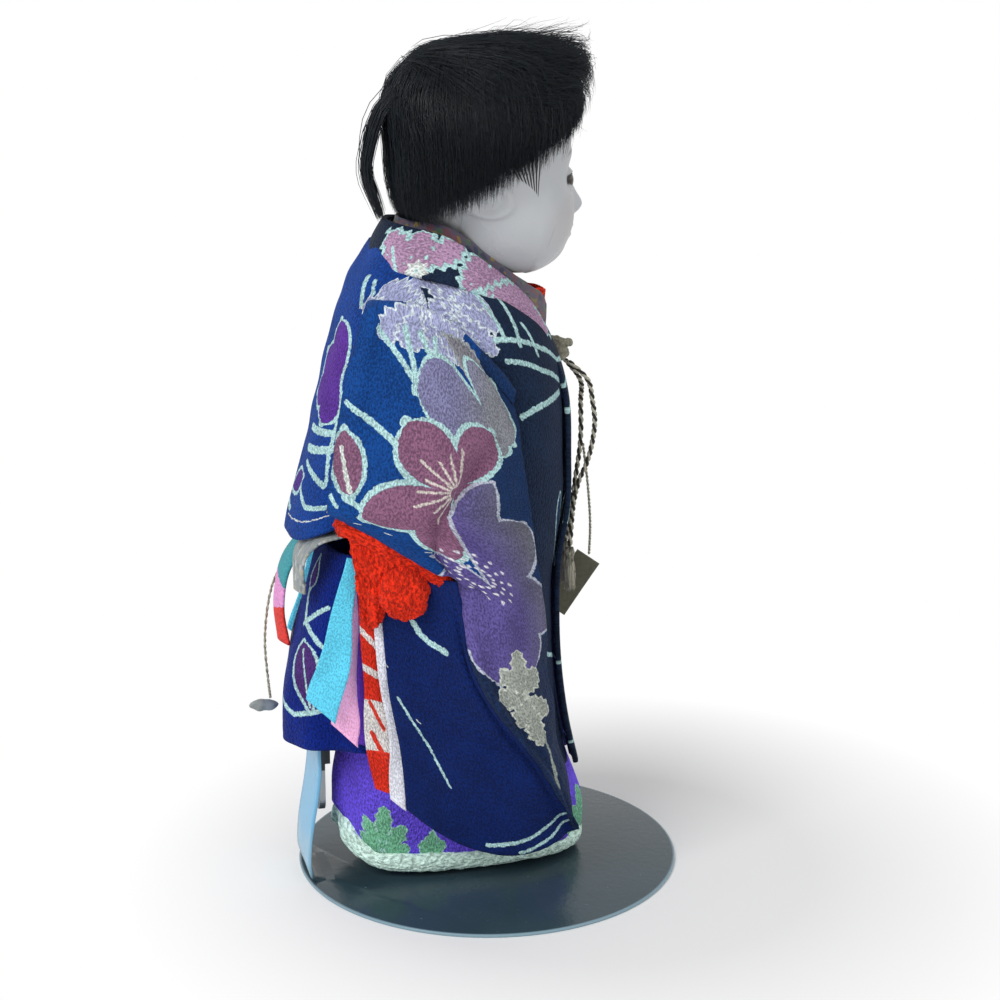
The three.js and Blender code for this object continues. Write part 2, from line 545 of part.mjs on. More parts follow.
function sleeveSolid(forward) {
  const [fold, wrist] = [rearFold(forward), wristEdge(forward)];
  function outerEdge(v) {
    if (v < FOLD_END) {
      return fold.getPoint(v / FOLD_END);
    }
    if (v < CREASE_START) {
      return wrist.getPoint((v - FOLD_END) / (CREASE_START - FOLD_END));
    }
    return CREASE.getPoint((v - CREASE_START) / (1 - CREASE_START));
  }
  function outerFace(u, v) {
    const [, belly, crown] = smoothRow(SLEEVE_ROWS, v);
    const p = FRONT_EDGE.getPoint(v).lerp(outerEdge(v), u);
    const swell = Math.sin(Math.PI * u);
    p.x -= belly * swell;
    p.z += crown * swell;
    return p;
  }
  function rearFace(u, v) {
    const p = CREASE.getPoint(v).lerp(BAG_REAR.getPoint(v), u);
    const swell = Math.sin(Math.PI * u);
    p.x += (3 * (1 - v) ** 2 - 2.4 * v) * swell;
    p.z -= 10 * swell * v ** 3;
    return p;
  }
  function innerFace(u, v) {
    const front = new THREE.Vector3(-26.6, 6 + 2 * v, 158 - 52 * v);
    return front.lerp(fold.getPoint(v), u).add(new THREE.Vector3(0.8 * Math.sin(Math.PI * u), 0, 0));
  }
  const faces = join(sheet(outerFace, 7, 14, CLOTH), sheet(rearFace, 4, 7, CLOTH), sheet(innerFace, 3, 4, CLOTH));
  return cut(faces, armSolid(0.5), pouchSolid(forward, 0.5));
}

// Layers inside the sleeve, from the white lining inward: each hangs from the wrist and shows past the last.
function hanging(x, top, bottom, width, lean) {
  return sheet((u, v) => {
    const y = THREE.MathUtils.lerp(top[0], bottom[0], v) + (u - 0.5) * width * (1 - 0.15 * v);
    const fold = 0.4 * Math.sin(3.2 * u + 2.2 * v) * v;
    return new THREE.Vector3(-x - fold, y, THREE.MathUtils.lerp(top[1], bottom[1], v) + lean * (u - 0.5));
  }, 2, 7, THIN_CLOTH);
}
const liningSheet = sheet((u, v) => {
  const p = BAG_REAR.getPoint(v);
  return new THREE.Vector3(p.x + 1.1, p.y - 3 + 6.5 * u, p.z - 1 + 1.4 * u);
}, 1, 6, THIN_CLOTH);
function redSleeve(forward) {
  const wrist = wristEdge(forward);
  const band = sheet((u, v) => {
    const along = 0.14 + 0.86 * v;
    const p = wrist.getPoint(along);
    return new THREE.Vector3(p.x + 1.1 + 2.4 * along, p.y, p.z + 3.4 - (9 - 6 * along ** 2) * u);
  }, 2, 6, CLOTH);
  return join(band, pouchSolid(forward, 0));
}
for (const [name, side] of SIDES) {
  const forward = SLEEVE_FORWARD[name];
  const pieces = [
    ["upper_arm", armSolid(0), COTTON],
    ["hand", forearm.clone(), GOFUN],
    ["haori_sleeve", sleeveSolid(forward), BLUE_CREPE],
    ["red_sleeve", redSleeve(forward), RED_CREPE],
    ["sleeve_lining", liningSheet.clone(), WHITE_SILK],
    ["striped_sleeve", hanging(29.2, [39.5, 103], [36, 37], 9, -2), STRIPED_CREPE],
    ["kimono_sleeve", hanging(28.1, [43 - forward / 2, 105], [41 - forward / 2, 48], 8, -2), PURPLE_CREPE],
    ["pink_sleeve", hanging(26.8, [45 - 0.6 * forward, 107], [45.5 - 0.6 * forward, 54], 8, -2), PINK_SILK],
    ["aqua_sleeve", hanging(30.5, [49.5 - 0.25 * forward, 108], [53 - 0.6 * forward, 62], 9, -4), AQUA_SILK],
  ];
  for (const [piece, geometry, material] of pieces) {
    place(`${piece}_${name}`, mirrored(geometry, side), material);
  }
}

// Collars: strips that run from one front over the nape to the other front.
const up = (height) => TORSO_TOP + height;
const bothSides = (half) => curve([...half, ...half.slice(0, -1).map(([x, y, z]) => [-x, y, z]).reverse()]);
function collar(inner, outer, swell) {
  const [top, low] = [bothSides(inner), bothSides(outer)];
  return (u, v) => {
    const p = top.getPoint(v).lerp(low.getPoint(v), u);
    const away = new THREE.Vector3(p.x, p.y - NECK_Y, 0).normalize();
    return p.addScaledVector(away, swell * Math.sin(Math.PI * u));
  };
}
const haoriCollar = collar(
  [[-2.8, -25.4, HAORI_HEM], [-2.7, -22.3, 45], [-2.6, -20, 62], [-2.6, -19.2, 78], [-2.6, -19.7, 95],
    [-2.6, -22.3, 111], [-2.6, -22.4, 126], [-3, -21.9, 142], [-4.2, -19, up(-17)], [-6.4, -14.8, up(-8)],
    [-10.4, -8.4, up(1.2)], [-14.8, 4, up(12)], [-14.8, 15, up(19.6)], [-9.5, 25.6, up(22.4)],
    [0, 28.7, up(23)]],
  [[-11, -24.6, HAORI_HEM], [-10.9, -21.4, 45], [-10.8, -19.1, 62], [-10.8, -18.3, 78], [-10.6, -18.8, 95],
    [-10.5, -21.3, 111], [-10.5, -21.4, 126], [-10.8, -20.6, 142], [-12, -17.4, up(-19)], [-14, -13.2, up(-11)],
    [-17.4, -6.6, up(-3.4)], [-21.6, 8, up(5)], [-20.5, 22.5, up(9.4)], [-12.5, 31.4, up(11)],
    [0, 33.8, up(11.4)]], 0.6);
const kimonoCollar = collar(
  [[-0.8, -17, up(-3)], [-3.4, -15, up(0.6)], [-8.4, -8.6, up(3.6)], [-12.8, 2.6, up(12)],
    [-12.9, 14, up(21)], [-8, 22.6, up(22.6)], [0, 25.5, up(22.8)]],
  [[-1.6, -16.2, up(-12)], [-4.6, -13.4, up(-8.6)], [-9.6, -7.5, up(-3.6)], [-13.7, 3.5, up(5.6)],
    [-14, 14.4, up(13.4)], [-9.5, 24.4, up(15.2)], [0, 27.2, up(15.6)]], 0.2);
const underCollar = collar(
  [[-0.8, -13.8, up(-3)], [-2.6, -12.2, up(-0.6)], [-6.6, -6.4, up(3.2)], [-10, 3.5, up(10.8)],
    [-10.4, 13, up(18.4)], [-7, 20.2, up(21.2)], [0, 23, up(21.6)]],
  [[-1.2, -12.8, up(-11)], [-3.6, -10.8, up(-7)], [-8, -5.2, up(-3.4)], [-11.4, 4, up(5.6)],
    [-11.7, 13, up(13.4)], [-8, 21.6, up(15.8)], [0, 24.3, up(16.2)]], 0.2);
place("haori_collar", sheet(haoriCollar, 2, 42, COLLAR_THICK), DEEP_BLUE);
place("kimono_collar", sheet(kimonoCollar, 2, 24, CLOTH), BROCADE);
place("under_collar", sheet(underCollar, 2, 24, CLOTH), RED_CREPE);
const roomFor = (surface, along, thick) =>
  sheet((u, v) => surface(1.14 * u - 0.07, v), 2, along, thick + 2 * GAP + 0.4);
const haoriCollarRoom = roomFor(haoriCollar, 42, COLLAR_THICK);
const kimonoCollarRoom = roomFor(kimonoCollar, 24, CLOTH);
const underCollarRoom = roomFor(underCollar, 24, CLOTH);

// Under-robe, kimono wrapped left over right, padded hem and obi.
const armholes = SIDES.map(([, side]) =>
  sideways(rod(ARM_RADIUS + 1.1, 30, 12), side * 30, SHOULDER_Y, SHOULDER_Z));
const crowded = (v) => 1 - (1 - v) ** 1.7;
function neckline(degrees, back, drop) {
  return back - drop * Math.max(Math.cos(THREE.MathUtils.degToRad(degrees)), 0);
}
const underRobe = sheet((u, v) => {
  const z = THREE.MathUtils.lerp(JUBAN_HEM, neckline(360 * u, TORSO_TOP - 2, 14), crowded(v));
  return around(BODY, 360 * u, z, JUBAN_OUT);
}, 18, 7, CLOTH, true);
place("under_robe", cut(underRobe, ...armholes, underCollarRoom), RED_CREPE);
function lift(degrees, spread) {
  return HEM_LIFT * Math.max(-Math.cos(THREE.MathUtils.degToRad(degrees)), 0) ** spread;
}
const kimono = sheet((u, v) => {
  const degrees = 70 - 500 * u;
  const low = HEM_Z + HEM_ROLL + GAP + lift(degrees, 4.5);
  const z = THREE.MathUtils.lerp(low, neckline(degrees, TORSO_TOP, 16), crowded(v));
  return around(BODY, degrees, z, KIMONO_OUT + KIMONO_LAP * u);
}, 28, 7, CLOTH);
place("kimono", cut(kimono, ...armholes, kimonoCollarRoom, underCollarRoom), PURPLE_CREPE);
const hem = sheet((u, v) => {
  const z = HEM_Z + lift(360 * u, 6) + HEM_ROLL * (2 * v - 1);
  return around(BODY, 360 * u, z, KIMONO_OUT + KIMONO_LAP / 2);
}, 28, 1, 1.4 * HEM_ROLL, true);
place("kimono_hem", hem, MINT_CREPE);
const obi = sheet((u, v) => around(BODY, 360 * u, THREE.MathUtils.lerp(OBI_LOW, OBI_HIGH, v), OBI_OUT), 22, 2,
  OBI_THICK, true);
place("obi", obi, SILVER_BROCADE);
const barrel = lathe([[0, -9], [4, -9], [5.3, -7], [5.3, 7], [4, 9], [0, 9]], 12).rotateZ(Math.PI / 2);
place("obi_knot", barrel, SILVER_BROCADE).position.set(0, 40, 112);
function tail(line, wide, narrow, cup) {
  return (u, v) => {
    const p = line.getPoint(v);
    const across = 2 * u - 1;
    p.x += (across * THREE.MathUtils.lerp(wide, narrow, v)) / 2;
    p.y -= cup * v * across ** 2;
    return p;
  };
}
const silverTail = curve([[-9.5, 45.3, 109.6], [-10, 51, 106.5], [-10.2, 55, 101], [-9.8, 55.6, 92]]);
const roseTail = curve([[8, 45.3, 109.6], [8.4, 53.6, 101], [8.6, 58.8, 94], [8.6, 61.4, 82], [8.4, 60.4, 71]]);
place("obi_tail_silver", sheet(tail(silverTail, 14, 6, 1), 4, 6, CLOTH), SILVER_BROCADE);
place("obi_tail_rose", sheet(tail(roseTail, 15, 12, 1.4), 4, 8, CLOTH), PINK_SILK);

// Haori: two fronts, an upper back tucked over the obi, and the back's lower part below the tuck.
function haoriTop(degrees) {
  return TORSO_TOP - 27 + 36 * Math.sin(THREE.MathUtils.degToRad(Math.min(degrees, 99) * 0.92));
}
for (const [name, side] of SIDES) {
  const front = sheet((u, v) => {
    const degrees = THREE.MathUtils.lerp(13, 99.6, u);
    const z = THREE.MathUtils.lerp(HAORI_HEM, haoriTop(degrees), crowded(v));
    const fold = -0.3 * (1 + Math.sin(9 * u)) * (1 - v);
    return around(HAORI, side * degrees, z, fold, HAORI_ROUND);
  }, 8, 9, CLOTH);
  place(`haori_front_${name}`, cut(front, ...armholes, haoriCollarRoom), BLUE_CREPE);
}
const backTurn = (u) => THREE.MathUtils.lerp(100.4, 259.6, u);
const upperBack = sheet((u, v) => {
  const low = TUCK_Z + TUCK_RISE * (2 * u - 1) ** 2;
  return around(HAORI, backTurn(u), THREE.MathUtils.lerp(low, up(16), v), 0, HAORI_ROUND);
}, 12, 7, CLOTH);
place("haori_back", cut(upperBack, ...armholes, haoriCollarRoom), BLUE_CREPE);
const lowerBack = sheet((u, v) => {
  const fold = 0.8 * Math.sin(4 * Math.PI * u) * (1 - v);
  return around(HAORI_SKIRT, THREE.MathUtils.lerp(105.6, 254.4, u), THREE.MathUtils.lerp(BACK_HEM, 101, v), fold,
    HAORI_ROUND);
}, 16, 5, CLOTH);
place("haori_back_skirt", lowerBack, BLUE_CREPE);

// Himo: the cord that ties the haori, knotted at the breast, with two ends and their tassels.
place("himo_knot", ball(1, 12, 8).scale(3.9, 4.2, 3.7), OLIVE_SILK).position.set(0, -21.5, up(-16.4));
const himoRight = curve([[-1.1, -23.8, 152.2], [-1.4, -29.8, 145.9], [-1.8, -31.1, 139.9], [-2, -31.8, 133.8],
  [-2, -31.2, 127.9], [-1.8, -29.8, 121.9], [-1.5, -27.4, 116], [-1.3, -26, 110], [-1.2, -25.4, 103.9],
  [-1.2, -24.9, 95.8]]);
const himoLeft = curve([[1.7, -23.4, 152.2], [2, -28.6, 145], [2.2, -28.7, 139.3], [2.3, -28.8, 127.2],
  [2.6, -27.4, 115.2], [3, -26, 103], [3.6, -24.9, 96.2]]);
place("himo_cord_right", tube(himoRight, HIMO_RADIUS, 18), OLIVE_SILK);
place("himo_cord_left", tube(himoLeft, HIMO_RADIUS, 16), OLIVE_SILK);
const tasselShape = [[0, -13.4], [2, -13.4], [1.8, -7], [1.3, -2], [0.9, -0.4], [0, 0]];
place("himo_tassel_right", upright(lathe(tasselShape, 10)), OLIVE_SILK).position.set(-1.2, -24.9, 95.4);
place("himo_tassel_left", upright(lathe(tasselShape, 10)), OLIVE_SILK).position.set(3.6, -24.9, 95.8);

// A plain card hung by a thread at the front, and a loose end of the obi cord at the back.
const tag = place("paper_tag", new THREE.BoxGeometry(0.5, 8, 20), CARD);
tag.rotation.set(THREE.MathUtils.degToRad(31.8), 0, THREE.MathUtils.degToRad(-25), "ZYX");
tag.position.set(13, -29.5, 80);
const tagThread = curve([[3.5, -29.9, 126], [6.2, -32.4, 112], [9.3, -34.2, 99], [10.7, -34.4, 89.1]]);
place("tag_thread", tube(tagThread, THREAD_RADIUS, 16), THREAD);
const obiCord = curve([[15.9, 57.4, 93.6], [16.9, 61.4, 84], [13.4, 64.2, 70], [10, 64, 57], [9.6, 63.6, 52.4]]);
place("obi_cord_end", tube(obiCord, THREAD_RADIUS, 18), THREAD);
const silkBit = place("obi_cord_silk", ball(1, 10, 6).scale(1.4, 4.4, 1.8), OLIVE_SILK);
silkBit.position.set(9.5, 65.6, 50.4);

export default doll;
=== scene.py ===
# %% [markdown]
# # An ichimatsu doll on its stand
# A girl doll with a shell-white head wears a printed crepe jacket over a long-sleeved robe, and a painted
# steel stand holds it at the waist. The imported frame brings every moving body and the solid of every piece.
# This lesson dresses that frame. Each step makes one piece or one finish, in metres, in the frame's own place.

# %% Load the frame
import math
import bpy
import numpy as np
from mathutils import Matrix, Vector, noise


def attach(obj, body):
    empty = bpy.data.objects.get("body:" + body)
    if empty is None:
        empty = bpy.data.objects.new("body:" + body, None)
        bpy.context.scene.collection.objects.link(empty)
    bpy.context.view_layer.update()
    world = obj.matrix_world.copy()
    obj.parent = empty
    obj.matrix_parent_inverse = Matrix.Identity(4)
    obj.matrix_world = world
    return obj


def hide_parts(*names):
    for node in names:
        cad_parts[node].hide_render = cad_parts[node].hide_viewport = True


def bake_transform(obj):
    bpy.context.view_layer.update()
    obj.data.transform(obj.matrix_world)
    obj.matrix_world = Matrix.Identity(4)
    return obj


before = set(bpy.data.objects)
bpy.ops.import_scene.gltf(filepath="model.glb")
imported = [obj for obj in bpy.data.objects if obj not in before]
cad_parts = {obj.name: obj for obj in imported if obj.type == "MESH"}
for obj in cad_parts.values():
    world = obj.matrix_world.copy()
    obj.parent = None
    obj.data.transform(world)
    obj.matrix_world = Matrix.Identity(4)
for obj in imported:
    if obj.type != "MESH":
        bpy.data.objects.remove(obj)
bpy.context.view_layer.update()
scene = bpy.context.scene
MM = 0.001
bpy.ops.object.select_all(action="DESELECT")

# %% [markdown]
# ## Camera, floor and light
# The doll was seen from its right side and a little from behind, from above, with a long lens. A long lens
# keeps upright lines upright, so the camera stands well back. The floor fills the whole view.

# %% Place the camera
AZIMUTH = math.radians(256)
PITCH = math.radians(16.24)
DISTANCE = 0.640
EYE_HEIGHT = 0.298
LENS = 82.44
FRAME_SHIFT = 0.013
eye_place = (DISTANCE * math.sin(AZIMUTH), -DISTANCE * math.cos(AZIMUTH), EYE_HEIGHT)
bpy.ops.object.camera_add(location=eye_place, rotation=(math.pi / 2 - PITCH, 0, AZIMUTH))
camera = bpy.context.object
camera.data.sensor_width = 36
camera.data.lens = LENS
camera.data.shift_x = FRAME_SHIFT
camera.data.clip_start = 0.01
scene.camera = camera
print("camera at", [round(v, 3) for v in camera.location])

# %% [markdown]
# Colours are written as on a dye card, and shaders want linear numbers, so one small function turns one into
# the other. Node trees are long to write by hand. A few helpers add a node each: whatever is a socket is linked,
# and whatever is a number or a colour is set.


# %% Helpers for node trees
def ink(code):
    values = [int(code[i:i + 2], 16) / 255 for i in (1, 3, 5)]
    return tuple(v / 12.92 if v <= 0.04045 else ((v + 0.055) / 1.055) ** 2.4 for v in values) + (1.0,)


def feed(tree, sockets, values):
    for socket, value in zip(sockets, values):
        if isinstance(value, bpy.types.NodeSocket):
            tree.links.new(value, socket)
        elif value is not None:
            socket.default_value = value


def calc(tree, operation, *values, clamp=False):
    node = tree.nodes.new("ShaderNodeMath")
    node.operation = operation
    node.use_clamp = clamp
    feed(tree, node.inputs, values)
    return node.outputs[0]


def vec(tree, operation, *values):
    node = tree.nodes.new("ShaderNodeVectorMath")
    node.operation = operation
    feed(tree, node.inputs, values)
    return node.outputs["Value"] if operation in ("LENGTH", "DOT_PRODUCT", "DISTANCE") else node.outputs[0]


def tint(tree, mask, under, over, blend="MIX"):
    node = tree.nodes.new("ShaderNodeMix")
    node.data_type = "RGBA"
    node.blend_type = blend
    feed(tree, (node.inputs[0], node.inputs[6], node.inputs[7]), (mask, under, over))
    return node.outputs[2]


def set_inputs(tree, inputs, **values):
    for label, value in values.items():
        feed(tree, [inputs[label.replace("_", " ")]], [value])


def add_node(tree, kind, output, **values):
    node = tree.nodes.new(kind)
    set_inputs(tree, node.inputs, **values)
    return node.outputs[output]


def axes(tree, place):
    split = tree.nodes.new("ShaderNodeSeparateXYZ")
    feed(tree, split.inputs, [place])
    return split.outputs


def far_from(tree, x, y):
    return calc(tree, "SQRT", calc(tree, "MULTIPLY_ADD", x, x, calc(tree, "MULTIPLY", y, y)))


def scale_by(tree, place, factor):
    scaled = vec(tree, "SCALE", place)
    feed(tree, [scaled.node.inputs["Scale"]], [factor])
    return scaled


def fade(tree, value, start, end):
    return calc(tree, "DIVIDE", calc(tree, "SUBTRACT", end, value), end - start, clamp=True)


def new_finish(name):
    finish = bpy.data.materials.new(name)
    finish.use_nodes = True
    return finish, finish.node_tree, finish.node_tree.nodes["Principled BSDF"].inputs


# %% Lay the floor
FLOOR_SIZE = 14
SHADOW_X, SHADOW_Y = 0.015, 0.03
SHADOW_REACH, SHADOW_FADE = 0.065, 0.075
floor_paper, tree, shader = new_finish("floor_paper")
set_inputs(tree, shader, Base_Color=ink("#fbfbfb"), Roughness=0.9, Specular_IOR_Level=0.1)
x, y, _ = axes(tree, add_node(tree, "ShaderNodeTexCoord", "Object"))
away = far_from(tree, calc(tree, "ADD", x, SHADOW_X), calc(tree, "ADD", y, SHADOW_Y))
white = add_node(tree, "ShaderNodeEmission", "Emission", Strength=1.0)
beyond = calc(tree, "DIVIDE", calc(tree, "SUBTRACT", away, SHADOW_REACH), SHADOW_FADE, clamp=True)
to_camera = calc(tree, "MULTIPLY", beyond, add_node(tree, "ShaderNodeLightPath", "Is Camera Ray"))
mixer = tree.nodes.new("ShaderNodeMixShader")
feed(tree, mixer.inputs, [to_camera, tree.nodes["Principled BSDF"].outputs[0], white])
feed(tree, [tree.nodes["Material Output"].inputs["Surface"]], [mixer.outputs[0]])
bpy.ops.mesh.primitive_plane_add(size=FLOOR_SIZE)
floor = bpy.context.object
floor.name = "studio_floor"
floor.data.materials.append(floor_paper)
print("floor laid")

# %% Hang the lights
AIR_LIGHT, AIR_WHITE = 0.55, 0.45
scene.view_settings.view_transform = "Standard"
studio = bpy.data.worlds.new("studio_air")
scene.world = studio
studio.use_nodes = True
air = studio.node_tree
rays = air.nodes.new("ShaderNodeLightPath")
seen = calc(air, "MAXIMUM", rays.outputs["Is Camera Ray"], rays.outputs["Is Glossy Ray"])
strength = calc(air, "MULTIPLY_ADD", seen, AIR_WHITE, AIR_LIGHT)
feed(air, [air.nodes["Background"].inputs["Strength"]], [strength])
air.nodes["Background"].inputs["Color"].default_value = (1, 1, 1, 1)


def soft_box(name, place, aim, size, watts):
    turn = (Vector(aim) - Vector(place)).to_track_quat("-Z", "Y").to_euler()
    bpy.ops.object.light_add(type="AREA", location=place, rotation=turn)
    lamp = bpy.context.object
    lamp.name = name
    lamp.data.size = size
    lamp.data.energy = watts


DOLL_MIDDLE = (0, 0, 0.12)
soft_box("window_light", (-0.75, 0.95, 1.05), DOLL_MIDDLE, size=0.7, watts=11.0)
soft_box("front_fill", (-0.9, -0.9, 0.5), DOLL_MIDDLE, size=0.8, watts=1.5)
print("lights hung")

# %% [markdown]
# ## Ways to shape a piece
# Cloth is drawn as a surface of two numbers, u across it and v along it. A grid primitive gets its vertices
# laid on that surface, and its UV map is spread out flat in millimetres, as the cloth was before sewing, so a
# print or a weave keeps its true size. Solidify then gives the cloth its thickness.


# %% Smooth lines and outlines
def smooth_line(points):
    spots = [Vector(p) for p in points]
    last = len(spots) - 1

    def at(t):
        place = min(max(t, 0.0), 1.0) * last
        i = min(int(place), last - 1)
        w = place - i
        b, c = spots[i], spots[i + 1]
        a = spots[i - 1] if i > 0 else 2 * b - c
        d = spots[i + 2] if i + 2 <= last else 2 * c - b
        s0, s1, s2 = (max((q - p).length, 1e-6) ** 0.5 for p, q in ((a, b), (b, c), (c, d)))
        m0 = ((b - a) / s0 - (c - a) / (s0 + s1) + (c - b) / s1) * s1
        m1 = ((c - b) / s1 - (d - b) / (s1 + s2) + (d - c) / s2) * s1
        return b + m0 * w + (-3 * b + 3 * c - 2 * m0 - m1) * w ** 2 + (2 * b - 2 * c + m0 + m1) * w ** 3

    return at


def smooth_row(rows, z):
    i = 0
    while i < len(rows) - 2 and z > rows[i + 1][0]:
        i += 1
    a, b = rows[i], rows[i + 1]
    before, after = rows[max(i - 1, 0)], rows[min(i + 2, len(rows) - 1)]
    span = b[0] - a[0]
    t = min(max((z - a[0]) / span, 0), 1)
    found = []
    for k in range(len(a)):
        m0 = (b[k] - before[k]) / (b[0] - before[0]) * span
        m1 = (after[k] - a[k]) / (after[0] - a[0]) * span
        found.append((2 * t ** 3 - 3 * t ** 2 + 1) * a[k] + (t ** 3 - 2 * t ** 2 + t) * m0
                     + (3 * t ** 2 - 2 * t ** 3) * b[k] + (t ** 3 - t ** 2) * m1)
    return found


def bulge(value, power):
    return math.copysign(abs(value) ** power, value)


def around(rows, degrees, z, out, corner):
    _, half, front, back = smooth_row(rows, z)
    angle = math.radians(degrees)
    x = (half + out) * bulge(math.sin(angle), corner)
    y = (front + back) / 2 - ((back - front) / 2 + out) * bulge(math.cos(angle), corner)
    return Vector((x, y, z))


def lerp(a, b, t):
    return a + (b - a) * t


# %% Lay a grid on a surface
def as_active(piece):
    bpy.ops.object.select_all(action="DESELECT")
    piece.select_set(True)
    bpy.context.view_layer.objects.active = piece
    return piece


def start_from(primitive, name, **settings):
    bpy.ops.object.select_all(action="DESELECT")
    primitive(**settings)
    piece = bpy.context.object
    piece.name = piece.data.name = name
    bpy.ops.object.transform_apply(location=True, rotation=True, scale=True)
    return piece


def smooth_all(piece):
    as_active(piece)
    bpy.ops.object.shade_smooth()
    return piece


def smooth_under(piece, degrees):
    as_active(piece)
    bpy.ops.object.shade_smooth_by_angle(angle=math.radians(degrees))
    return piece


def merge_doubles(piece, threshold):
    as_active(piece)
    bpy.ops.object.mode_set(mode="EDIT")
    bpy.ops.mesh.select_all(action="SELECT")
    bpy.ops.mesh.remove_doubles(threshold=threshold)
    bpy.ops.mesh.normals_make_consistent(inside=False)
    bpy.ops.object.mode_set(mode="OBJECT")


def apply_modifier(piece, kind, **settings):
    as_active(piece)
    bpy.ops.object.modifier_add(type=kind)
    modifier = piece.modifiers[-1]
    for key, value in settings.items():
        setattr(modifier, key, value)
    bpy.ops.object.modifier_apply(modifier=modifier.name)


def lay_grid(name, surface, across, along, shift=(0, 0)):
    piece = start_from(bpy.ops.mesh.primitive_grid_add, name, x_subdivisions=across, y_subdivisions=along, size=2)
    mesh = piece.data
    spots = np.array([[surface(i / across, j / along) for i in range(across + 1)] for j in range(along + 1)])
    flat = np.array([v.co for v in mesh.vertices])
    i = np.rint((flat[:, 0] + 1) / 2 * across).astype(int)
    j = np.rint((flat[:, 1] + 1) / 2 * along).astype(int)
    mesh.vertices.foreach_set("co", (spots[j, i] * MM).ravel())
    wide = np.cumsum(np.linalg.norm(np.diff(spots, axis=1), axis=2), axis=1)
    wide = np.concatenate([np.zeros((along + 1, 1)), wide], axis=1)
    wide -= wide[:, across // 2:across // 2 + 1]
    high = np.cumsum(np.linalg.norm(np.diff(spots[:, across // 2], axis=0), axis=1))
    high = np.concatenate([[0], high])
    corners = np.array([loop.vertex_index for loop in mesh.loops])
    uv = np.stack([wide[j, i] + shift[0], high[j] + shift[1]], axis=1)[corners]
    mesh.uv_layers[0].data.foreach_set("uv", uv.ravel())
    mesh.update()
    rise = np.linalg.norm(np.diff(spots, axis=0), axis=2).sum(axis=0)
    piece["cut_wide"] = float(np.ptp(wide, axis=1).max() * MM)
    piece["cut_long"] = float(rise.max() * MM)
    piece["cut_area"] = sum(p.area for p in mesh.polygons)
    return piece


SEAM_GAP = 2e-5


def weld(*pieces):
    as_active(pieces[0])
    facts = {key: sum(p.get(key, 0.0) for p in pieces) for key in ("cut_wide", "cut_area")}
    facts["cut_long"] = max(p.get("cut_long", 0.0) for p in pieces)
    for piece in pieces[1:]:
        piece.select_set(True)
    bpy.ops.object.join()
    whole = bpy.context.object
    for key, value in facts.items():
        whole[key] = value
    merge_doubles(whole, SEAM_GAP)
    return whole


def crumple(piece, depth, size, seed):
    mesh = piece.data
    away = [v.normal.copy() for v in mesh.vertices]
    for v, normal in zip(mesh.vertices, away):
        v.co += normal * depth * MM * noise.noise(v.co / (size * MM) + Vector((seed, 0, 0)))
    mesh.update()


def thicken(piece, thick, smooth=180):
    apply_modifier(piece, "SOLIDIFY", thickness=thick * MM, offset=0, use_even_offset=False)
    return smooth_under(piece, smooth)


def wear(piece, finish, slot, body, *nodes):
    piece.data.materials.clear()
    piece.data.materials.append(finish)
    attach(piece, body)
    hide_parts(*nodes)
    return piece


NARROWEST_CUT = 0.0102


def call_cloth(piece, held, *rests_on):
    wide = max(piece["cut_wide"], NARROWEST_CUT)


# %% [markdown]
# ## Finishes
# Most of the doll is chirimen, a silk crepe whose hard-twisted weft shrinks into tiny pebbles. The pebbles are
# a bump on the flat UV map, with a slow mottling of the dye. The same group serves every crepe and silk here,
# each with its own grain.


# %% A node group for crepe
def new_group(name, inputs, outputs):
    group = bpy.data.node_groups.new(name, "ShaderNodeTree")
    for label, kind, value in inputs:
        socket = group.interface.new_socket(label, in_out="INPUT", socket_type="NodeSocket" + kind)
        if value is not None:
            socket.default_value = value
    for label in outputs:
        group.interface.new_socket(label, in_out="OUTPUT", socket_type="NodeSocketFloat")
    return group, group.nodes.new("NodeGroupInput").outputs, group.nodes.new("NodeGroupOutput").inputs


def use_group(tree, group, **values):
    node = tree.nodes.new("ShaderNodeGroup")
    node.node_tree = group
    set_inputs(tree, node.inputs, **values)
    return node.outputs


LONG_PEBBLES = (1.0, 0.62, 1.0)
CREPE_INPUTS = [("Flat", "Vector", None), ("Grain", "Float", 0.6)]
crepe, given, put = new_group("crepe_pebbles", CREPE_INPUTS, ["Height", "Mottle"])
scaled = scale_by(crepe, given["Flat"], calc(crepe, "DIVIDE", 1.0, given["Grain"]))
long_way = vec(crepe, "MULTIPLY", scaled, LONG_PEBBLES)
pebble = add_node(crepe, "ShaderNodeTexNoise", "Fac", Vector=long_way, Scale=1.0, Detail=2.0, Roughness=0.55)
ridge = add_node(crepe, "ShaderNodeTexVoronoi", "Distance", Vector=long_way, Scale=0.8)
height = calc(crepe, "MULTIPLY_ADD", ridge, 0.45, calc(crepe, "MULTIPLY", pebble, 0.9))
cloud = add_node(crepe, "ShaderNodeTexNoise", "Fac", Vector=given["Flat"], Scale=0.09, Detail=3.0)
mottle = calc(crepe, "MULTIPLY_ADD", pebble, 1.9, -0.45)
mottle = calc(crepe, "MULTIPLY_ADD", mottle, 0.6, calc(crepe, "MULTIPLY", cloud, 0.4))
feed(crepe, [put["Height"], put["Mottle"]], [height, mottle])
print("crepe group has", len(crepe.nodes), "nodes")

# %% [markdown]
# The print is paste-resist dyeing: each flower is a flat dye inside a pale line. One group measures how far a
# point lies outside a petal that grows from a base to a tip. The petal's half width swells and closes along its
# length, and teeth can be cut into its edge. A second group does the same for a straight stroke, and a third draws
# a flower's heart, as fine stamens or as rings of dots.


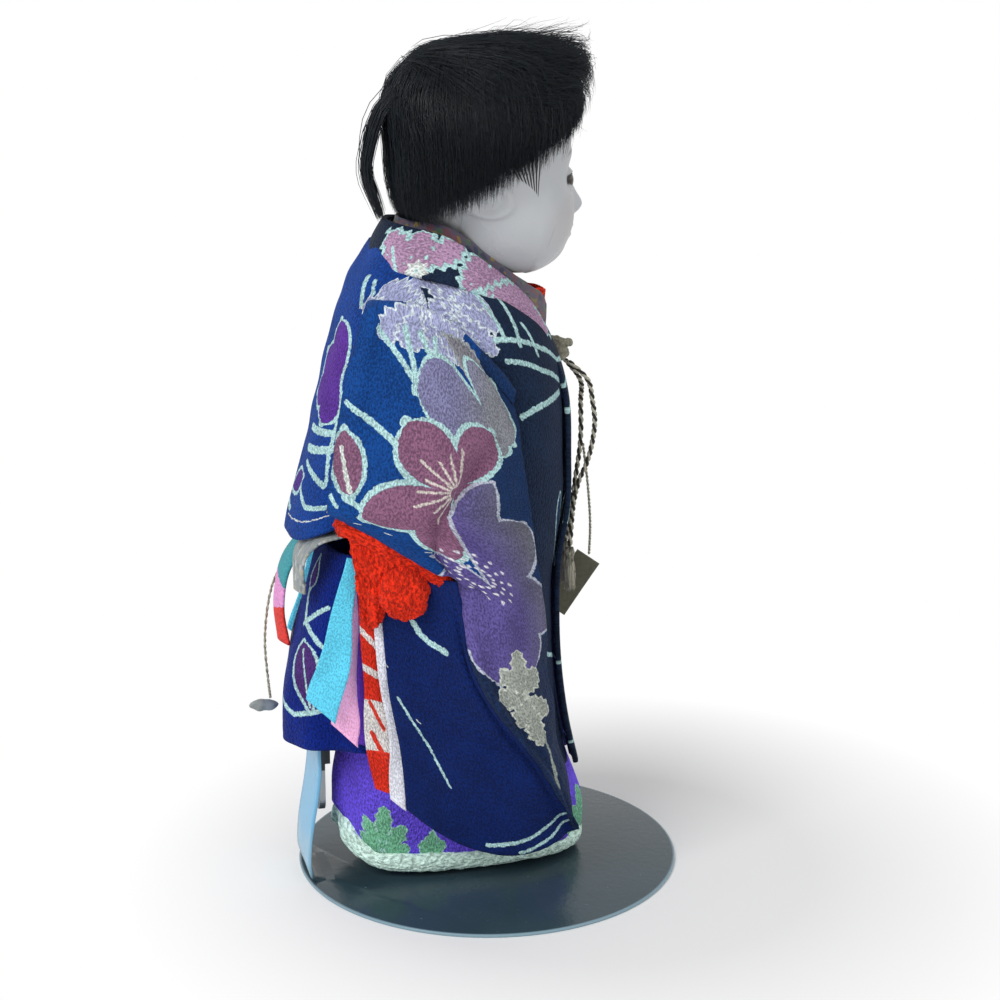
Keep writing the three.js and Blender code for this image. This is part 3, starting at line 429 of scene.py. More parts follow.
# %% Node groups for the drawn print
def along_line(group, given):
    reach = vec(group, "SUBTRACT", given["To"], given["From"])
    start = vec(group, "SUBTRACT", given["Flat"], given["From"])
    done = vec(group, "DOT_PRODUCT", start, reach)
    whole = vec(group, "DOT_PRODUCT", reach, reach)
    return reach, start, calc(group, "DIVIDE", done, whole)


def off_line(group, reach, start, share):
    foot = scale_by(group, reach, share)
    return vec(group, "LENGTH", vec(group, "SUBTRACT", start, foot))


TOOTH_LENGTH = 1.4
LINE_INPUTS = [("Flat", "Vector", None), ("From", "Vector", None), ("To", "Vector", None), ("Width", "Float", 0.9)]
PETAL_INPUTS = LINE_INPUTS + [("Blunt", "Float", 1.6), ("Teeth", "Float", 0.0)]
petal, given, put = new_group("resist_petal", PETAL_INPUTS, ["Away"])
reach, start, share = along_line(petal, given)
inside = calc(petal, "MAXIMUM", calc(petal, "MINIMUM", share, 0.999), 0.001)
warped = calc(petal, "POWER", inside, given["Blunt"])
arch = calc(petal, "MULTIPLY", calc(petal, "MULTIPLY", warped, calc(petal, "SUBTRACT", 1.0, warped)), 4.0)
half = calc(petal, "MULTIPLY", calc(petal, "POWER", arch, 0.7), given["Width"])
tooth = calc(petal, "PINGPONG", calc(petal, "MULTIPLY", share, vec(petal, "LENGTH", reach)), TOOTH_LENGTH)
half = calc(petal, "SUBTRACT", half, calc(petal, "MULTIPLY", tooth, given["Teeth"]))
feed(petal, [put["Away"]], [calc(petal, "SUBTRACT", off_line(petal, reach, start, inside), half)])

stroke, given, put = new_group("resist_stroke", LINE_INPUTS, ["Away"])
reach, start, share = along_line(stroke, given)
gap = off_line(stroke, reach, start, calc(stroke, "MULTIPLY", share, 1.0, clamp=True))
feed(stroke, [put["Away"]], [calc(stroke, "MULTIPLY_ADD", given["Width"], -0.5, gap)])

HALF_SPOKE, HALF_BEAD, RING_STEP = math.pi / 19, math.pi / 15, 0.25
HEART_INPUTS = [("Flat", "Vector", None), ("Centre", "Vector", None), ("Radius", "Float", 10)]
heart, given, put = new_group("flower_heart", HEART_INPUTS, ["Stamens", "Dots", "Turn"])
px, py, _ = axes(heart, vec(heart, "SUBTRACT", given["Flat"], given["Centre"]))
far = far_from(heart, px, py)
angle = calc(heart, "ARCTAN2", py, px)
ratio = calc(heart, "DIVIDE", far, given["Radius"])
spoke = calc(heart, "ABSOLUTE", calc(heart, "WRAP", angle, HALF_SPOKE, -HALF_SPOKE))
thin = calc(heart, "MULTIPLY_ADD", calc(heart, "MULTIPLY", far, spoke), -3.0, 1.6, clamp=True)
odd = calc(heart, "MULTIPLY_ADD", calc(heart, "SINE", calc(heart, "MULTIPLY", angle, 7.0)), 0.16, 0.84)
grown = calc(heart, "MULTIPLY", calc(heart, "GREATER_THAN", ratio, 0.14), calc(heart, "LESS_THAN", ratio, odd))
stamens = calc(heart, "MULTIPLY", thin, grown)
ring = calc(heart, "SUBTRACT", calc(heart, "WRAP", ratio, RING_STEP, 0.0), RING_STEP / 2)
bead = calc(heart, "MULTIPLY", calc(heart, "WRAP", angle, HALF_BEAD, -HALF_BEAD), ratio)
dot = calc(heart, "MULTIPLY_ADD", far_from(heart, ring, bead), -30.0, 2.1, clamp=True)
hollow = calc(heart, "GREATER_THAN", ratio, RING_STEP)
hollow = calc(heart, "MULTIPLY", hollow, calc(heart, "LESS_THAN", ratio, 1.0))
dots = calc(heart, "MULTIPLY", dot, hollow)
set_inputs(heart, put, Stamens=stamens, Dots=dots, Turn=angle)
print("print groups:", len(petal.nodes) + len(stroke.nodes) + len(heart.nodes), "nodes")

# %% [markdown]
# A crepe finish takes a dye, a grain and a list of drawn things, laid one over the other in the order of the
# list. Where the resist paste lay, the pale line stays. The edge of the paste is never quite sharp, so the flat
# map is first shaken a little by a fine noise.

# %% A crepe finish with its print
MINT_LINE = ink("#b4dadb")
PASTE_EDGE = 4.0
DARKEST, PALEST = 0.66, 1.5


def crepe_finish(name, dye, grain=0.55, depth=0.25, roughness=0.72, drawn=()):
    finish, tree, shader = new_finish(name)
    flat = add_node(tree, "ShaderNodeUVMap", "UV")
    shake = add_node(tree, "ShaderNodeTexNoise", "Color", Vector=flat, Scale=0.9, Detail=2.0)
    shaken = vec(tree, "MULTIPLY_ADD", vec(tree, "SUBTRACT", shake, (0.5, 0.5, 0.5)), (1.1, 1.1, 0.0), flat)
    pebbles = use_group(tree, crepe, Flat=flat, Grain=grain)
    colour = ink(dye)
    for motif in drawn:
        colour = motif(tree, shaken, colour)
    uneven = calc(tree, "MULTIPLY_ADD", pebbles["Mottle"], 4.4, -1.1)
    uneven = calc(tree, "MINIMUM", calc(tree, "MAXIMUM", uneven, DARKEST), PALEST)
    shade = tint(tree, 0.35 + 0.5 * min(depth, 1.0), colour, uneven, "MULTIPLY")
    bump = add_node(tree, "ShaderNodeBump", "Normal", Height=pebbles["Height"], Strength=depth,
                    Distance=2.2 * grain * MM)
    set_inputs(tree, shader, Base_Color=shade, Normal=bump, Roughness=roughness, Sheen_Weight=0.03,
               Sheen_Roughness=0.5, Specular_IOR_Level=0.12)
    return finish


def paste_edge(tree, inside, sharp=PASTE_EDGE):
    return calc(tree, "MULTIPLY_ADD", inside, sharp, 0.5, clamp=True)


def blossom(base, tips, width, dye, line=1.5, rim=MINT_LINE, blunt=1.6, teeth=0.0, worn=None):
    def motif(tree, flat, colour):
        away = None
        for u, v, *own in tips:
            wide = own[0] if own else width
            found = use_group(tree, petal, Flat=flat, From=(*base, 0), To=(u, v, 0), Width=wide, Blunt=blunt,
                              Teeth=teeth)["Away"]
            away = found if away is None else calc(tree, "MINIMUM", away, found)
        inner = ink(dye)
        if worn:
            rubbed, start, end = worn
            inner = tint(tree, fade(tree, axes(tree, flat)[0], end, start), inner, ink(rubbed))
        colour = tint(tree, paste_edge(tree, away, -PASTE_EDGE), colour, inner)
        middle = calc(tree, "ABSOLUTE", calc(tree, "SUBTRACT", away, line / 2))
        return tint(tree, paste_edge(tree, calc(tree, "SUBTRACT", line / 2, middle)), colour, rim)
    return motif


def branch(*points, width=1.5, dye=MINT_LINE):
    def motif(tree, flat, colour):
        away = None
        for begin, end in zip(points, points[1:]):
            found = use_group(tree, stroke, Flat=flat, From=(*begin, 0), To=(*end, 0), Width=width)["Away"]
            away = found if away is None else calc(tree, "MINIMUM", away, found)
        return tint(tree, paste_edge(tree, away, -PASTE_EDGE), colour, dye)
    return motif


def heart_of(centre, radius, kind, dye, lean=None):
    def motif(tree, flat, colour):
        found = use_group(tree, heart, Flat=flat, Centre=(*centre, 0), Radius=radius)
        mask = found[kind]
        if lean is not None:
            turned = calc(tree, "COSINE", calc(tree, "SUBTRACT", found["Turn"], math.radians(lean)))
            mask = calc(tree, "MULTIPLY", mask, calc(tree, "GREATER_THAN", turned, 0.1))
        return tint(tree, mask, colour, ink(dye))
    return motif


def band_of(axis, start, end, dye, slant=0.0):
    def motif(tree, flat, colour):
        parts = axes(tree, flat)
        place = calc(tree, "MULTIPLY_ADD", parts[1 - axis], slant, parts[axis])
        past_start = paste_edge(tree, calc(tree, "SUBTRACT", place, start))
        before_end = paste_edge(tree, calc(tree, "SUBTRACT", end, place))
        return tint(tree, calc(tree, "MULTIPLY", past_start, before_end), colour, ink(dye))
    return motif


# %% [markdown]
# ## The stand
# The stand is a sheet-steel disc under blue-grey enamel. A tongue of the same sheet is bent up behind the doll
# and carries a folded guide, in which a flat post slides. The disc starts as a cylinder with many sides, and
# its two rims are bevelled so that they catch the light. The tongue is a strip laid along its bent profile.


# %% Enamel
def object_mm(tree):
    place = add_node(tree, "ShaderNodeTexCoord", "Object")
    return vec(tree, "MULTIPLY", place, (1000.0, 1000.0, 1000.0))


SPECKLE_INPUTS = [("Place", "Vector", None), ("Size", "Float", 1.0), ("Share", "Float", 0.3)]
speckle, given, put = new_group("dust_and_chips", SPECKLE_INPUTS, ["Specks", "Clouds"])
shrunk = scale_by(speckle, given["Place"], calc(speckle, "DIVIDE", 1.0, given["Size"]))
grit = add_node(speckle, "ShaderNodeTexNoise", "Fac", Vector=shrunk, Scale=1.0, Detail=4.0, Roughness=0.7)
limit = calc(speckle, "SUBTRACT", 1.0, given["Share"])
specks = calc(speckle, "MULTIPLY", calc(speckle, "SUBTRACT", grit, limit), 14.0, clamp=True)
clouds = add_node(speckle, "ShaderNodeTexNoise", "Fac", Vector=shrunk, Scale=0.05, Detail=4.0)
feed(speckle, [put["Specks"], put["Clouds"]], [specks, clouds])


PLATE_RADIUS = 57
RIM_HIGHLIGHT = 0.8


def enamel_finish():
    finish, tree, shader = new_finish("blue_grey_enamel")
    place = object_mm(tree)
    found = use_group(tree, speckle, Place=place, Size=1.3, Share=0.33)
    colour = tint(tree, found["Clouds"], ink("#2e4048"), ink("#3a4f58"))
    x, y, z = axes(tree, place)
    # The upright tongue is painted a paler, lighter blue: a painted highlight where it faces the light.
    upright = calc(tree, "MULTIPLY", calc(tree, "SUBTRACT", z, 2.0), 0.2, clamp=True)
    colour = tint(tree, upright, colour, ink("#7fc0e6"))
    # The outer rim of the plate is painted paler blue: a painted highlight along the bevel.
    rim = calc(tree, "SUBTRACT", far_from(tree, x, y), PLATE_RADIUS - RIM_HIGHLIGHT)
    rim = calc(tree, "MULTIPLY", rim, 1.6, clamp=True)
    colour = tint(tree, calc(tree, "MULTIPLY", rim, 0.55), colour, ink("#a9cbdb"))
    colour = tint(tree, calc(tree, "MULTIPLY", found["Specks"], 0.35), colour, ink("#aebfc6"))
    rough = calc(tree, "MULTIPLY_ADD", found["Clouds"], 0.22, 0.14)
    peel = add_node(tree, "ShaderNodeTexNoise", "Fac", Vector=place, Scale=0.55, Detail=2.0)
    bump = add_node(tree, "ShaderNodeBump", "Normal", Height=peel, Strength=0.08, Distance=MM)
    set_inputs(tree, shader, Base_Color=colour, Roughness=rough, Specular_IOR_Level=0.32, Normal=bump)
    return finish


enamel = enamel_finish()
print("enamel has", len(enamel.node_tree.nodes), "nodes")

# %% The plate and its tongue
STEEL = 1.0
TONGUE_WIDTH = 20
plate = start_from(bpy.ops.mesh.primitive_cylinder_add, "stand_plate", vertices=176, radius=PLATE_RADIUS * MM,
                   depth=STEEL * MM, location=(0, 0, STEEL / 2 * MM))
bpy.ops.object.mode_set(mode="EDIT")
bpy.ops.mesh.select_mode(type="EDGE")
bpy.ops.mesh.select_all(action="DESELECT")
bpy.ops.object.mode_set(mode="OBJECT")
for rim in plate.data.edges:
    low, high = (plate.data.vertices[k].co.z for k in rim.vertices)
    rim.select = abs(low - high) < 1e-6
bpy.ops.object.mode_set(mode="EDIT")
bpy.ops.mesh.bevel(offset=0.0004, segments=4, affect="EDGES")
bpy.ops.object.mode_set(mode="OBJECT")
tongue_line = smooth_line([(0, 48, 0.5), (0, 52, 0.6), (0, 54.8, 1.7), (0, 56, 4.6), (0, 55.8, 13), (0, 53.4, 28),
                           (0, 52.6, 35), (0, 52.6, 40), (0, 52.6, 60)])


def tongue_surface(u, v):
    return tongue_line(v) + Vector(((u - 0.5) * TONGUE_WIDTH, 0, 0))


tongue = lay_grid("tongue", tongue_surface, across=6, along=72)
apply_modifier(tongue, "SOLIDIFY", thickness=STEEL * MM, offset=0)
apply_modifier(tongue, "BEVEL", width=0.0002, segments=2, limit_method="ANGLE", angle_limit=math.radians(60))
apply_modifier(plate, "BOOLEAN", operation="UNION", solver="EXACT", object=tongue)
bpy.data.objects.remove(tongue)
smooth_under(plate, 35)
wear(plate, enamel, "enamel", "stand", "stand_base")
print("plate has", len(plate.data.polygons), "faces")

# %% [markdown]
# The guide, post, rivets and wire are the frame's own solids. They are hidden for the most part, so they keep
# their shapes and get a metal with the fine drag marks of rolled strip. A plain finish with a faint weave serves
# the wire's vinyl tips, and later the stuffed limbs.


# %% Metals, cotton and vinyl
def metal_finish(name, colour, roughness):
    finish, tree, shader = new_finish(name)
    place = object_mm(tree)
    drawn_out = vec(tree, "MULTIPLY", place, (3.0, 3.0, 0.12))
    drag = add_node(tree, "ShaderNodeTexNoise", "Fac", Vector=drawn_out, Scale=1.0, Detail=3.0)
    found = use_group(tree, speckle, Place=place, Size=0.8, Share=0.36)
    base = tint(tree, calc(tree, "MULTIPLY", drag, 0.5), ink(colour), ink("#50585c"))
    base = tint(tree, calc(tree, "MULTIPLY", found["Specks"], 0.5), base, ink("#6b5546"))
    rough = calc(tree, "MULTIPLY_ADD", drag, 0.3, roughness)
    set_inputs(tree, shader, Base_Color=base, Metallic=0.85, Roughness=rough)
    return finish


dark_steel = metal_finish("dark_rolled_steel", "#2f3438", 0.3)
bright_steel = metal_finish("bright_wire_steel", "#b9c1c6", 0.15)


def cotton_finish(name, dye):
    finish, tree, shader = new_finish(name)
    place = object_mm(tree)
    warp = add_node(tree, "ShaderNodeTexWave", "Fac", Vector=place, Scale=2.2, Distortion=0.6, Detail=1.0)
    cloud = add_node(tree, "ShaderNodeTexNoise", "Fac", Vector=place, Scale=0.12, Detail=3.0)
    bump = add_node(tree, "ShaderNodeBump", "Normal", Height=warp, Strength=0.3, Distance=0.3 * MM)
    colour = tint(tree, cloud, ink(dye), ink("#b3a489"))
    set_inputs(tree, shader, Base_Color=colour, Normal=bump, Roughness=0.9)
    return finish


stuffed_cotton = cotton_finish("stuffed_cotton", "#ddd3bf")
vinyl = cotton_finish("soft_vinyl", "#e8e6dc")


def recolour(finish, *nodes):
    for node in nodes:
        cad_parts[node].data.materials.clear()
        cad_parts[node].data.materials.append(finish)


recolour(bright_steel, "stand_post", "guide_rivet_right", "guide_rivet_left", "waist_grip")
recolour(dark_steel, "post_guide")
recolour(vinyl, "grip_tip_right", "grip_tip_left")
print("metals set")

# %% [markdown]
# ## The head
# The head is pressed composition under many coats of ground shell and glue, rubbed to a soft shine. Its features
# are painted: lips, thin brows, lash lines, and fine strokes of hair at the temples. All of them are placed by
# object coordinates, in millimetres from the stand's middle. Old shell white also has hairline cracks and specks.


# %% Shell-white skin
FACE_EDGE = (-14, -11)
CHEEK, LIPS, LASHES = (13, 195), (0, 191.2), (9.6, 205.6)
BROW_X, BROW_Z = 9.5, 214.0
TEMPLE_TOP, TEMPLE_LOW = 213.0, 205.4


def oval(tree, a, b, centre, size):
    a = calc(tree, "DIVIDE", calc(tree, "SUBTRACT", a, centre[0]), size[0])
    b = calc(tree, "DIVIDE", calc(tree, "SUBTRACT", b, centre[1]), size[1])
    return calc(tree, "MULTIPLY_ADD", a, a, calc(tree, "MULTIPLY", b, b))


def both(tree, *masks):
    mask = masks[0]
    for other in masks[1:]:
        mask = calc(tree, "MULTIPLY", mask, other)
    return mask


def painted_face(tree, place, colour):
    x, y, z = axes(tree, place)
    side = calc(tree, "ABSOLUTE", x)
    front = fade(tree, y, *FACE_EDGE)
    blush = both(tree, fade(tree, oval(tree, side, z, CHEEK, (8, 7)), 0.0, 1.6), front, 0.12)
    colour = tint(tree, blush, colour, ink("#d8a79b"))
    lips = both(tree, fade(tree, oval(tree, x, z, LIPS, (4.2, 2.2)), 0.75, 1.1), front)
    colour = tint(tree, lips, colour, ink("#a63f3b"))
    arch = calc(tree, "SUBTRACT", side, BROW_X)
    drop = calc(tree, "MULTIPLY_ADD", calc(tree, "MULTIPLY", arch, arch), 0.035, calc(tree, "SUBTRACT", z, BROW_Z))
    brow = both(tree, fade(tree, calc(tree, "ABSOLUTE", drop), 0.2, 0.7),
                fade(tree, calc(tree, "ABSOLUTE", arch), 4, 6), front, 0.6)
    colour = tint(tree, brow, colour, ink("#54463f"))
    lid = oval(tree, side, z, LASHES, (4.8, 2.2))
    lash = both(tree, fade(tree, lid, 1.15, 1.4), fade(tree, calc(tree, "MULTIPLY", z, -1), -205.2, -204.4), front)
    return tint(tree, lash, colour, ink("#17120f"))


def temple_strokes(tree, place, colour):
    x, y, z = axes(tree, place)
    down = calc(tree, "SUBTRACT", TEMPLE_TOP, z)
    centre = calc(tree, "ADD", calc(tree, "MULTIPLY_ADD", down, 0.30, 4.4), y)
    share = calc(tree, "DIVIDE", centre, calc(tree, "MULTIPLY_ADD", down, -0.33, 4.7))
    hairs = calc(tree, "PINGPONG", calc(tree, "MULTIPLY", share, 3.5), 0.5)
    thin = calc(tree, "MULTIPLY", calc(tree, "SUBTRACT", hairs, 0.17), 9.0, clamp=True)
    end = calc(tree, "MULTIPLY_ADD", share, 2.6, TEMPLE_LOW)
    mask = both(tree, thin, fade(tree, calc(tree, "ABSOLUTE", share), 1.0, 1.08),
                calc(tree, "MULTIPLY", calc(tree, "SUBTRACT", z, end), 1.5, clamp=True), fade(tree, z, 217, 219),
                calc(tree, "GREATER_THAN", calc(tree, "ABSOLUTE", x), 12.0))
    return tint(tree, mask, colour, ink("#1a1d20"))


def shell_finish():
    finish, tree, shader = new_finish("shell_white")
    place = object_mm(tree)
    found = use_group(tree, speckle, Place=place, Size=1.1, Share=0.34)
    colour = tint(tree, found["Clouds"], ink("#b0b4b8"), ink("#c9cbce"))
    colour = painted_face(tree, place, colour)
    colour = temple_strokes(tree, place, colour)
    colour = tint(tree, calc(tree, "MULTIPLY", found["Specks"], 0.5), colour, ink("#8c7f7a"))
    bent = vec(tree, "ADD", place, add_node(tree, "ShaderNodeTexNoise", "Color", Vector=place, Scale=0.4))
    cells = tree.nodes.new("ShaderNodeTexVoronoi")
    cells.feature = "DISTANCE_TO_EDGE"
    set_inputs(tree, cells.inputs, Vector=bent, Scale=0.085)
    patches = add_node(tree, "ShaderNodeTexNoise", "Fac", Vector=place, Scale=0.07, Detail=2.0)
    crack = both(tree, fade(tree, cells.outputs["Distance"], 0.004, 0.012),
                 calc(tree, "MULTIPLY", calc(tree, "SUBTRACT", patches, 0.62), 12.0, clamp=True), 0.3)
    colour = tint(tree, crack, colour, ink("#77706f"))
    rough = calc(tree, "MULTIPLY_ADD", found["Clouds"], 0.2, 0.2)
    set_inputs(tree, shader, Base_Color=colour, Roughness=rough, Specular_IOR_Level=0.5)
    return finish


shell_white = shell_finish()
recolour(shell_white, "torso", "hand_right", "hand_left", "leg_right", "leg_left")
print("skin has", len(shell_white.node_tree.nodes), "nodes")

# %% [markdown]
# The head's shape is two rounded bodies, a skull and a baby face set forward and low, melted into each other. A
# sphere is drawn out along its own rays until it meets them. The rings stand closer together on the face, where
# small swellings make nose, lips, chin, cheeks and ears.

# %% Shape of the head
HEAD_CENTRE = np.array((0, 1, 207.0))
SKULL = (np.array((0, 4, 214.0)), (26, 27, 22.5, 26, 19), 2.1)
FACE = (np.array((0, -8.6, 199.0)), (22, 15.4, 24, 21, 20.4), 2.05)
MELT = 2.2
EYE = np.array((9.4, -18, 205.5))
EYE_RADIUS = 4.3
LID, SOCKET = 0.45, 7
SLIT_LONG, SLIT_HIGH = 3.7, 1.4
EAR_Y, EAR_Z, EAR_FROM = 5.0, 202.6, 15
FACE_FROM = -10
SWELLINGS = {
    "flat between the eyes": (-1.6, (0, 208), (14, 7)),
    "tip of the nose": (3.4, (0, 198.4), (2.8, 2.7)),
    "bridge of the nose": (1.7, (0, 203), (2.3, 4.0)),
    "nostrils": (0.9, (2.6, 197), (1.3, 1.5)),
    "mouth": (1.1, (0, 190.5), (7, 6)),
    "upper lip": (0.9, (0, 192.4), (3.9, 1.1)),
    "lower lip": (0.9, (0, 189.9), (3.4, 1.1)),
    "line of the lips": (-0.9, (0, 191.2), (4.3, 0.45)),
    "dip over the chin": (-0.5, (0, 187.6), (4, 1.0)),
    "chin": (1.5, (0, 184), (6, 4.4)),
    "cheeks": (0.5, (14, 193), (6, 6)),
    "hollows of the eyes": (-0.6, (9.6, 205.5), (6, 4.5)),
    "brows": (0.5, (10, 213), (6, 2.4)),
}


def reach(way, centre, size, power):
    low, high = np.zeros(len(way)), np.full(len(way), 60.0)
    for _ in range(30):
        middle = (low + high) / 2
        p = HEAD_CENTRE + way * middle[:, None] - centre
        deep = np.where(p[:, 1] < 0, size[1], size[2])
        tall = np.where(p[:, 2] < 0, size[4], size[3])
        fill = (np.abs(p[:, 0] / size[0]) ** power + np.abs(p[:, 1] / deep) ** power
                + np.abs(p[:, 2] / tall) ** power)
        low, high = np.where(fill < 1, middle, low), np.where(fill < 1, high, middle)
    return low


def swell(a, b, centre, size):
    return np.exp(-((a - centre[0]) / size[0]) ** 2 - ((b - centre[1]) / size[1]) ** 2)


def features(p):
    side, z = np.abs(p[:, 0]), p[:, 2]
    raised = sum(h * swell(side, z, centre, size) for h, centre, size in SWELLINGS.values())
    raised = raised * (p[:, 1] < FACE_FROM)
    a, b = p[:, 1] - EAR_Y, z - EAR_Z
    lobe = np.sqrt(((a + 0.25 * b) / 7.8) ** 2 + ((b - 0.25 * a) / 5.6) ** 2)
    rim = 1.7 / (1 + np.exp((lobe - 0.95) * 16)) - 1.0 * np.exp(-((lobe - 0.42) / 0.26) ** 2)
    return raised + rim * (side > EAR_FROM)


def head_surface(way):
    r1, r2 = reach(way, *SKULL), reach(way, *FACE)
    p = HEAD_CENTRE + way * (MELT * np.log(np.exp(r1 / MELT) + np.exp(r2 / MELT)))[:, None]
    p = p + way * features(p)[:, None]
    eye = EYE * np.stack([np.sign(p[:, 0]), np.ones(len(p)), np.ones(len(p))], axis=1)
    off = p - eye
    far = np.linalg.norm(off, axis=1)
    slit = np.abs(off[:, 0] / SLIT_LONG) ** 1.7 + ((off[:, 2] - 0.1) / SLIT_HIGH) ** 2
    wanted = np.where(slit < 1, EYE_RADIUS - 0.5, np.maximum(far, EYE_RADIUS + LID))
    return np.where((far < SOCKET)[:, None], eye + off * (wanted / far)[:, None], p)


# %% Mould the head
CROWD_TURN, CROWD_TILT = math.radians(22), 0.16
head = start_from(bpy.ops.mesh.primitive_uv_sphere_add, "doll_head", segments=280, ring_count=200, radius=1)
ball = np.array([v.co for v in head.data.vertices])
turn = np.arctan2(ball[:, 0], -ball[:, 1])
turn = turn - CROWD_TURN * np.sin(turn)
tilt = np.arcsin(np.clip(ball[:, 2], -1, 1))
tilt = tilt - CROWD_TILT * np.sin(2 * (tilt + 0.2))
way = np.stack([np.sin(turn) * np.cos(tilt), -np.cos(turn) * np.cos(tilt), np.sin(tilt)], axis=1)
head.data.vertices.foreach_set("co", (head_surface(way) * MM).ravel())
head.data.update()


def turned(name, profile, centre, sides, steps):
    line = smooth_line([(r, 0, z) for r, z in profile])

    def surface(u, v):
        spot = line(v)
        angle = 2 * math.pi * u
        return Vector((centre[0] + spot.x * math.cos(angle), centre[1] + spot.x * math.sin(angle), spot.z))

    return lay_grid(name, surface, sides, steps)


NECK = [(6, 158), (6, 172.2), (8.2, 172.8), (7.6, 180), (9, 183), (11.4, 189.5), (14.2, 195), (15, 199)]
NECK_Y = 5
head = smooth_all(weld(head, turned("neck", NECK, (0, NECK_Y), 72, 60)))
wear(head, shell_white, "gofun", "head", "head")
print("head has", len(head.data.polygons), "faces")

# %% [markdown]
# The eyes are balls of dark glass set behind the lids. Iris and pupil are rings around the point that looks
# forward.


# %% Glass eyes
def eye_finish():
    finish, tree, shader = new_finish("dark_glass")
    x, _, z = axes(tree, object_mm(tree))
    ring = oval(tree, calc(tree, "ABSOLUTE", x), z, (EYE[0], EYE[2]), (4.6, 4.6))
    colour = tint(tree, fade(tree, ring, 0.9, 1.1), ink("#c9c4bd"), ink("#2a1910"))
    colour = tint(tree, fade(tree, ring, 0.2, 0.26), colour, ink("#050404"))
    set_inputs(tree, shader, Base_Color=colour, Roughness=0.12, Coat_Weight=0.2)
    return finish


dark_glass = eye_finish()
SIDES = (("right", -1), ("left", 1))
for name, side in SIDES:
    eye = start_from(bpy.ops.mesh.primitive_uv_sphere_add, f"glass_eye_{name}", segments=48, ring_count=32,
                     radius=EYE_RADIUS * MM, location=Vector(EYE * (side, 1, 1)) * MM)
    smooth_all(eye)
    wear(eye, dark_glass, "eye_glass", "head", f"eye_{name}")
print("eyes set")

# %% [markdown]
# ## The hair
# The wig is real hair glued to the head and cropped on one slant from the brow down to the nape. Under the
# strands lies a dark cap that hides the scalp. Each strand is a thin three-sided thread. On the sides it hangs
# straight down to the cut. On top it sweeps forward from the crown, and over the brow it flies off as a bushy
# edge. All strands of one layer are one mesh, and the same seed grows them again.

# %% Shape of the wig
HAIR_CENTRE = np.array((0, 3.5, 214.0))
CROWN = Vector((0, 0.5, 0.87)).normalized()
CUT_Z, CUT_SLOPE, NAPE_Z = 209.5, 0.61, 197.0
HAIR_WIDE, HAIR_HIGH = 28.6, 29.4
HAIR_AHEAD, HAIR_BEHIND, CROWN_BEHIND = 30.2, 23.8, 2.8
HAIR_RAKE, BROW_LEAN, BROW_LIMIT = 0.1, 0.22, -27.4
grow = np.random.default_rng(11)


def power(value, exponent):
    return np.sign(value) * np.abs(value) ** exponent


def hair_point(turn, tilt):
    forward = np.cos(turn) > 0
    depth = np.where(forward, HAIR_AHEAD, HAIR_BEHIND + CROWN_BEHIND * np.clip(tilt / 0.6, 0, 1))
    x = HAIR_WIDE * power(np.sin(turn), 0.9) * power(np.cos(tilt), 0.85)
    y = -depth * power(np.cos(turn), 0.9) * power(np.cos(tilt), np.where(forward, 0.62, 0.52))
    z = HAIR_HIGH * power(np.sin(tilt), 0.95)
    lean = np.where(forward, BROW_LEAN * (z - 12) * np.cos(turn) * np.cos(tilt), 0)
    z = z - HAIR_RAKE * (y + 4) * np.maximum(np.sin(tilt), 0)
    return HAIR_CENTRE + np.stack([x, y - lean, z], axis=-1)


def cut_tilt(turn):
    low, high = np.full(turn.shape, -1.2), np.full(turn.shape, 1.2)
    for _ in range(30):
        middle = (low + high) / 2
        p = hair_point(turn, middle)
        above = p[..., 2] > np.maximum(CUT_Z - CUT_SLOPE * p[..., 1], NAPE_Z)
        low, high = np.where(above, low, middle), np.where(above, middle, high)
    return low


def hair_paths(turn, start, end, steps):
    tilt = cut_tilt(turn)
    goal = np.stack([np.sin(turn) * np.cos(tilt), -np.cos(turn) * np.cos(tilt), np.sin(tilt)], axis=-1)
    crown = np.array(CROWN)
    apart = np.arccos(np.clip(goal @ crown, -1, 1))[:, None]
    share = start[:, None] + (end - start)[:, None] * np.linspace(0, 1, steps)
    a, b = np.sin((1 - share) * apart) / np.sin(apart), np.sin(share * apart) / np.sin(apart)
    way = a[..., None] * crown + b[..., None] * goal[:, None]
    return hair_point(np.arctan2(way[..., 0], -way[..., 1]), np.arcsin(np.clip(way[..., 2], -1, 1)))


# %% Strands of hair
def strand_piece(name, paths, thick, centre=HAIR_CENTRE):
    count, steps, _ = paths.shape
    along = np.gradient(paths, axis=1)
    along /= np.linalg.norm(along, axis=2, keepdims=True)
    out = paths - centre
    out -= (out * along).sum(axis=2, keepdims=True) * along
    out /= np.linalg.norm(out, axis=2, keepdims=True) + 1e-9
    side = np.cross(along, out)
    taper = thick[:, None] * np.interp(np.linspace(0, 1, steps), [0, 0.15, 0.7, 1], [0.4, 1, 0.8, 0.15])
    turns = [2 * math.pi * k / 3 for k in range(3)]
    rings = [paths + taper[..., None] * (math.cos(t) * out + math.sin(t) * side) for t in turns]
    spots = np.stack(rings, axis=2).reshape(-1, 3) * MM
    first = 3 * (np.arange(count)[:, None] * steps + np.arange(steps - 1)).ravel()
    corners = [(first + k, first + (k + 1) % 3, first + 3 + (k + 1) % 3, first + 3 + k) for k in range(3)]
    quads = [np.stack(four, axis=1) for four in corners]
    mesh = bpy.data.meshes.new(name)
    mesh.from_pydata(spots, [], np.concatenate(quads))
    mesh.update()
    piece = bpy.data.objects.new(name, mesh)
    scene.collection.objects.link(piece)
    return smooth_all(piece)


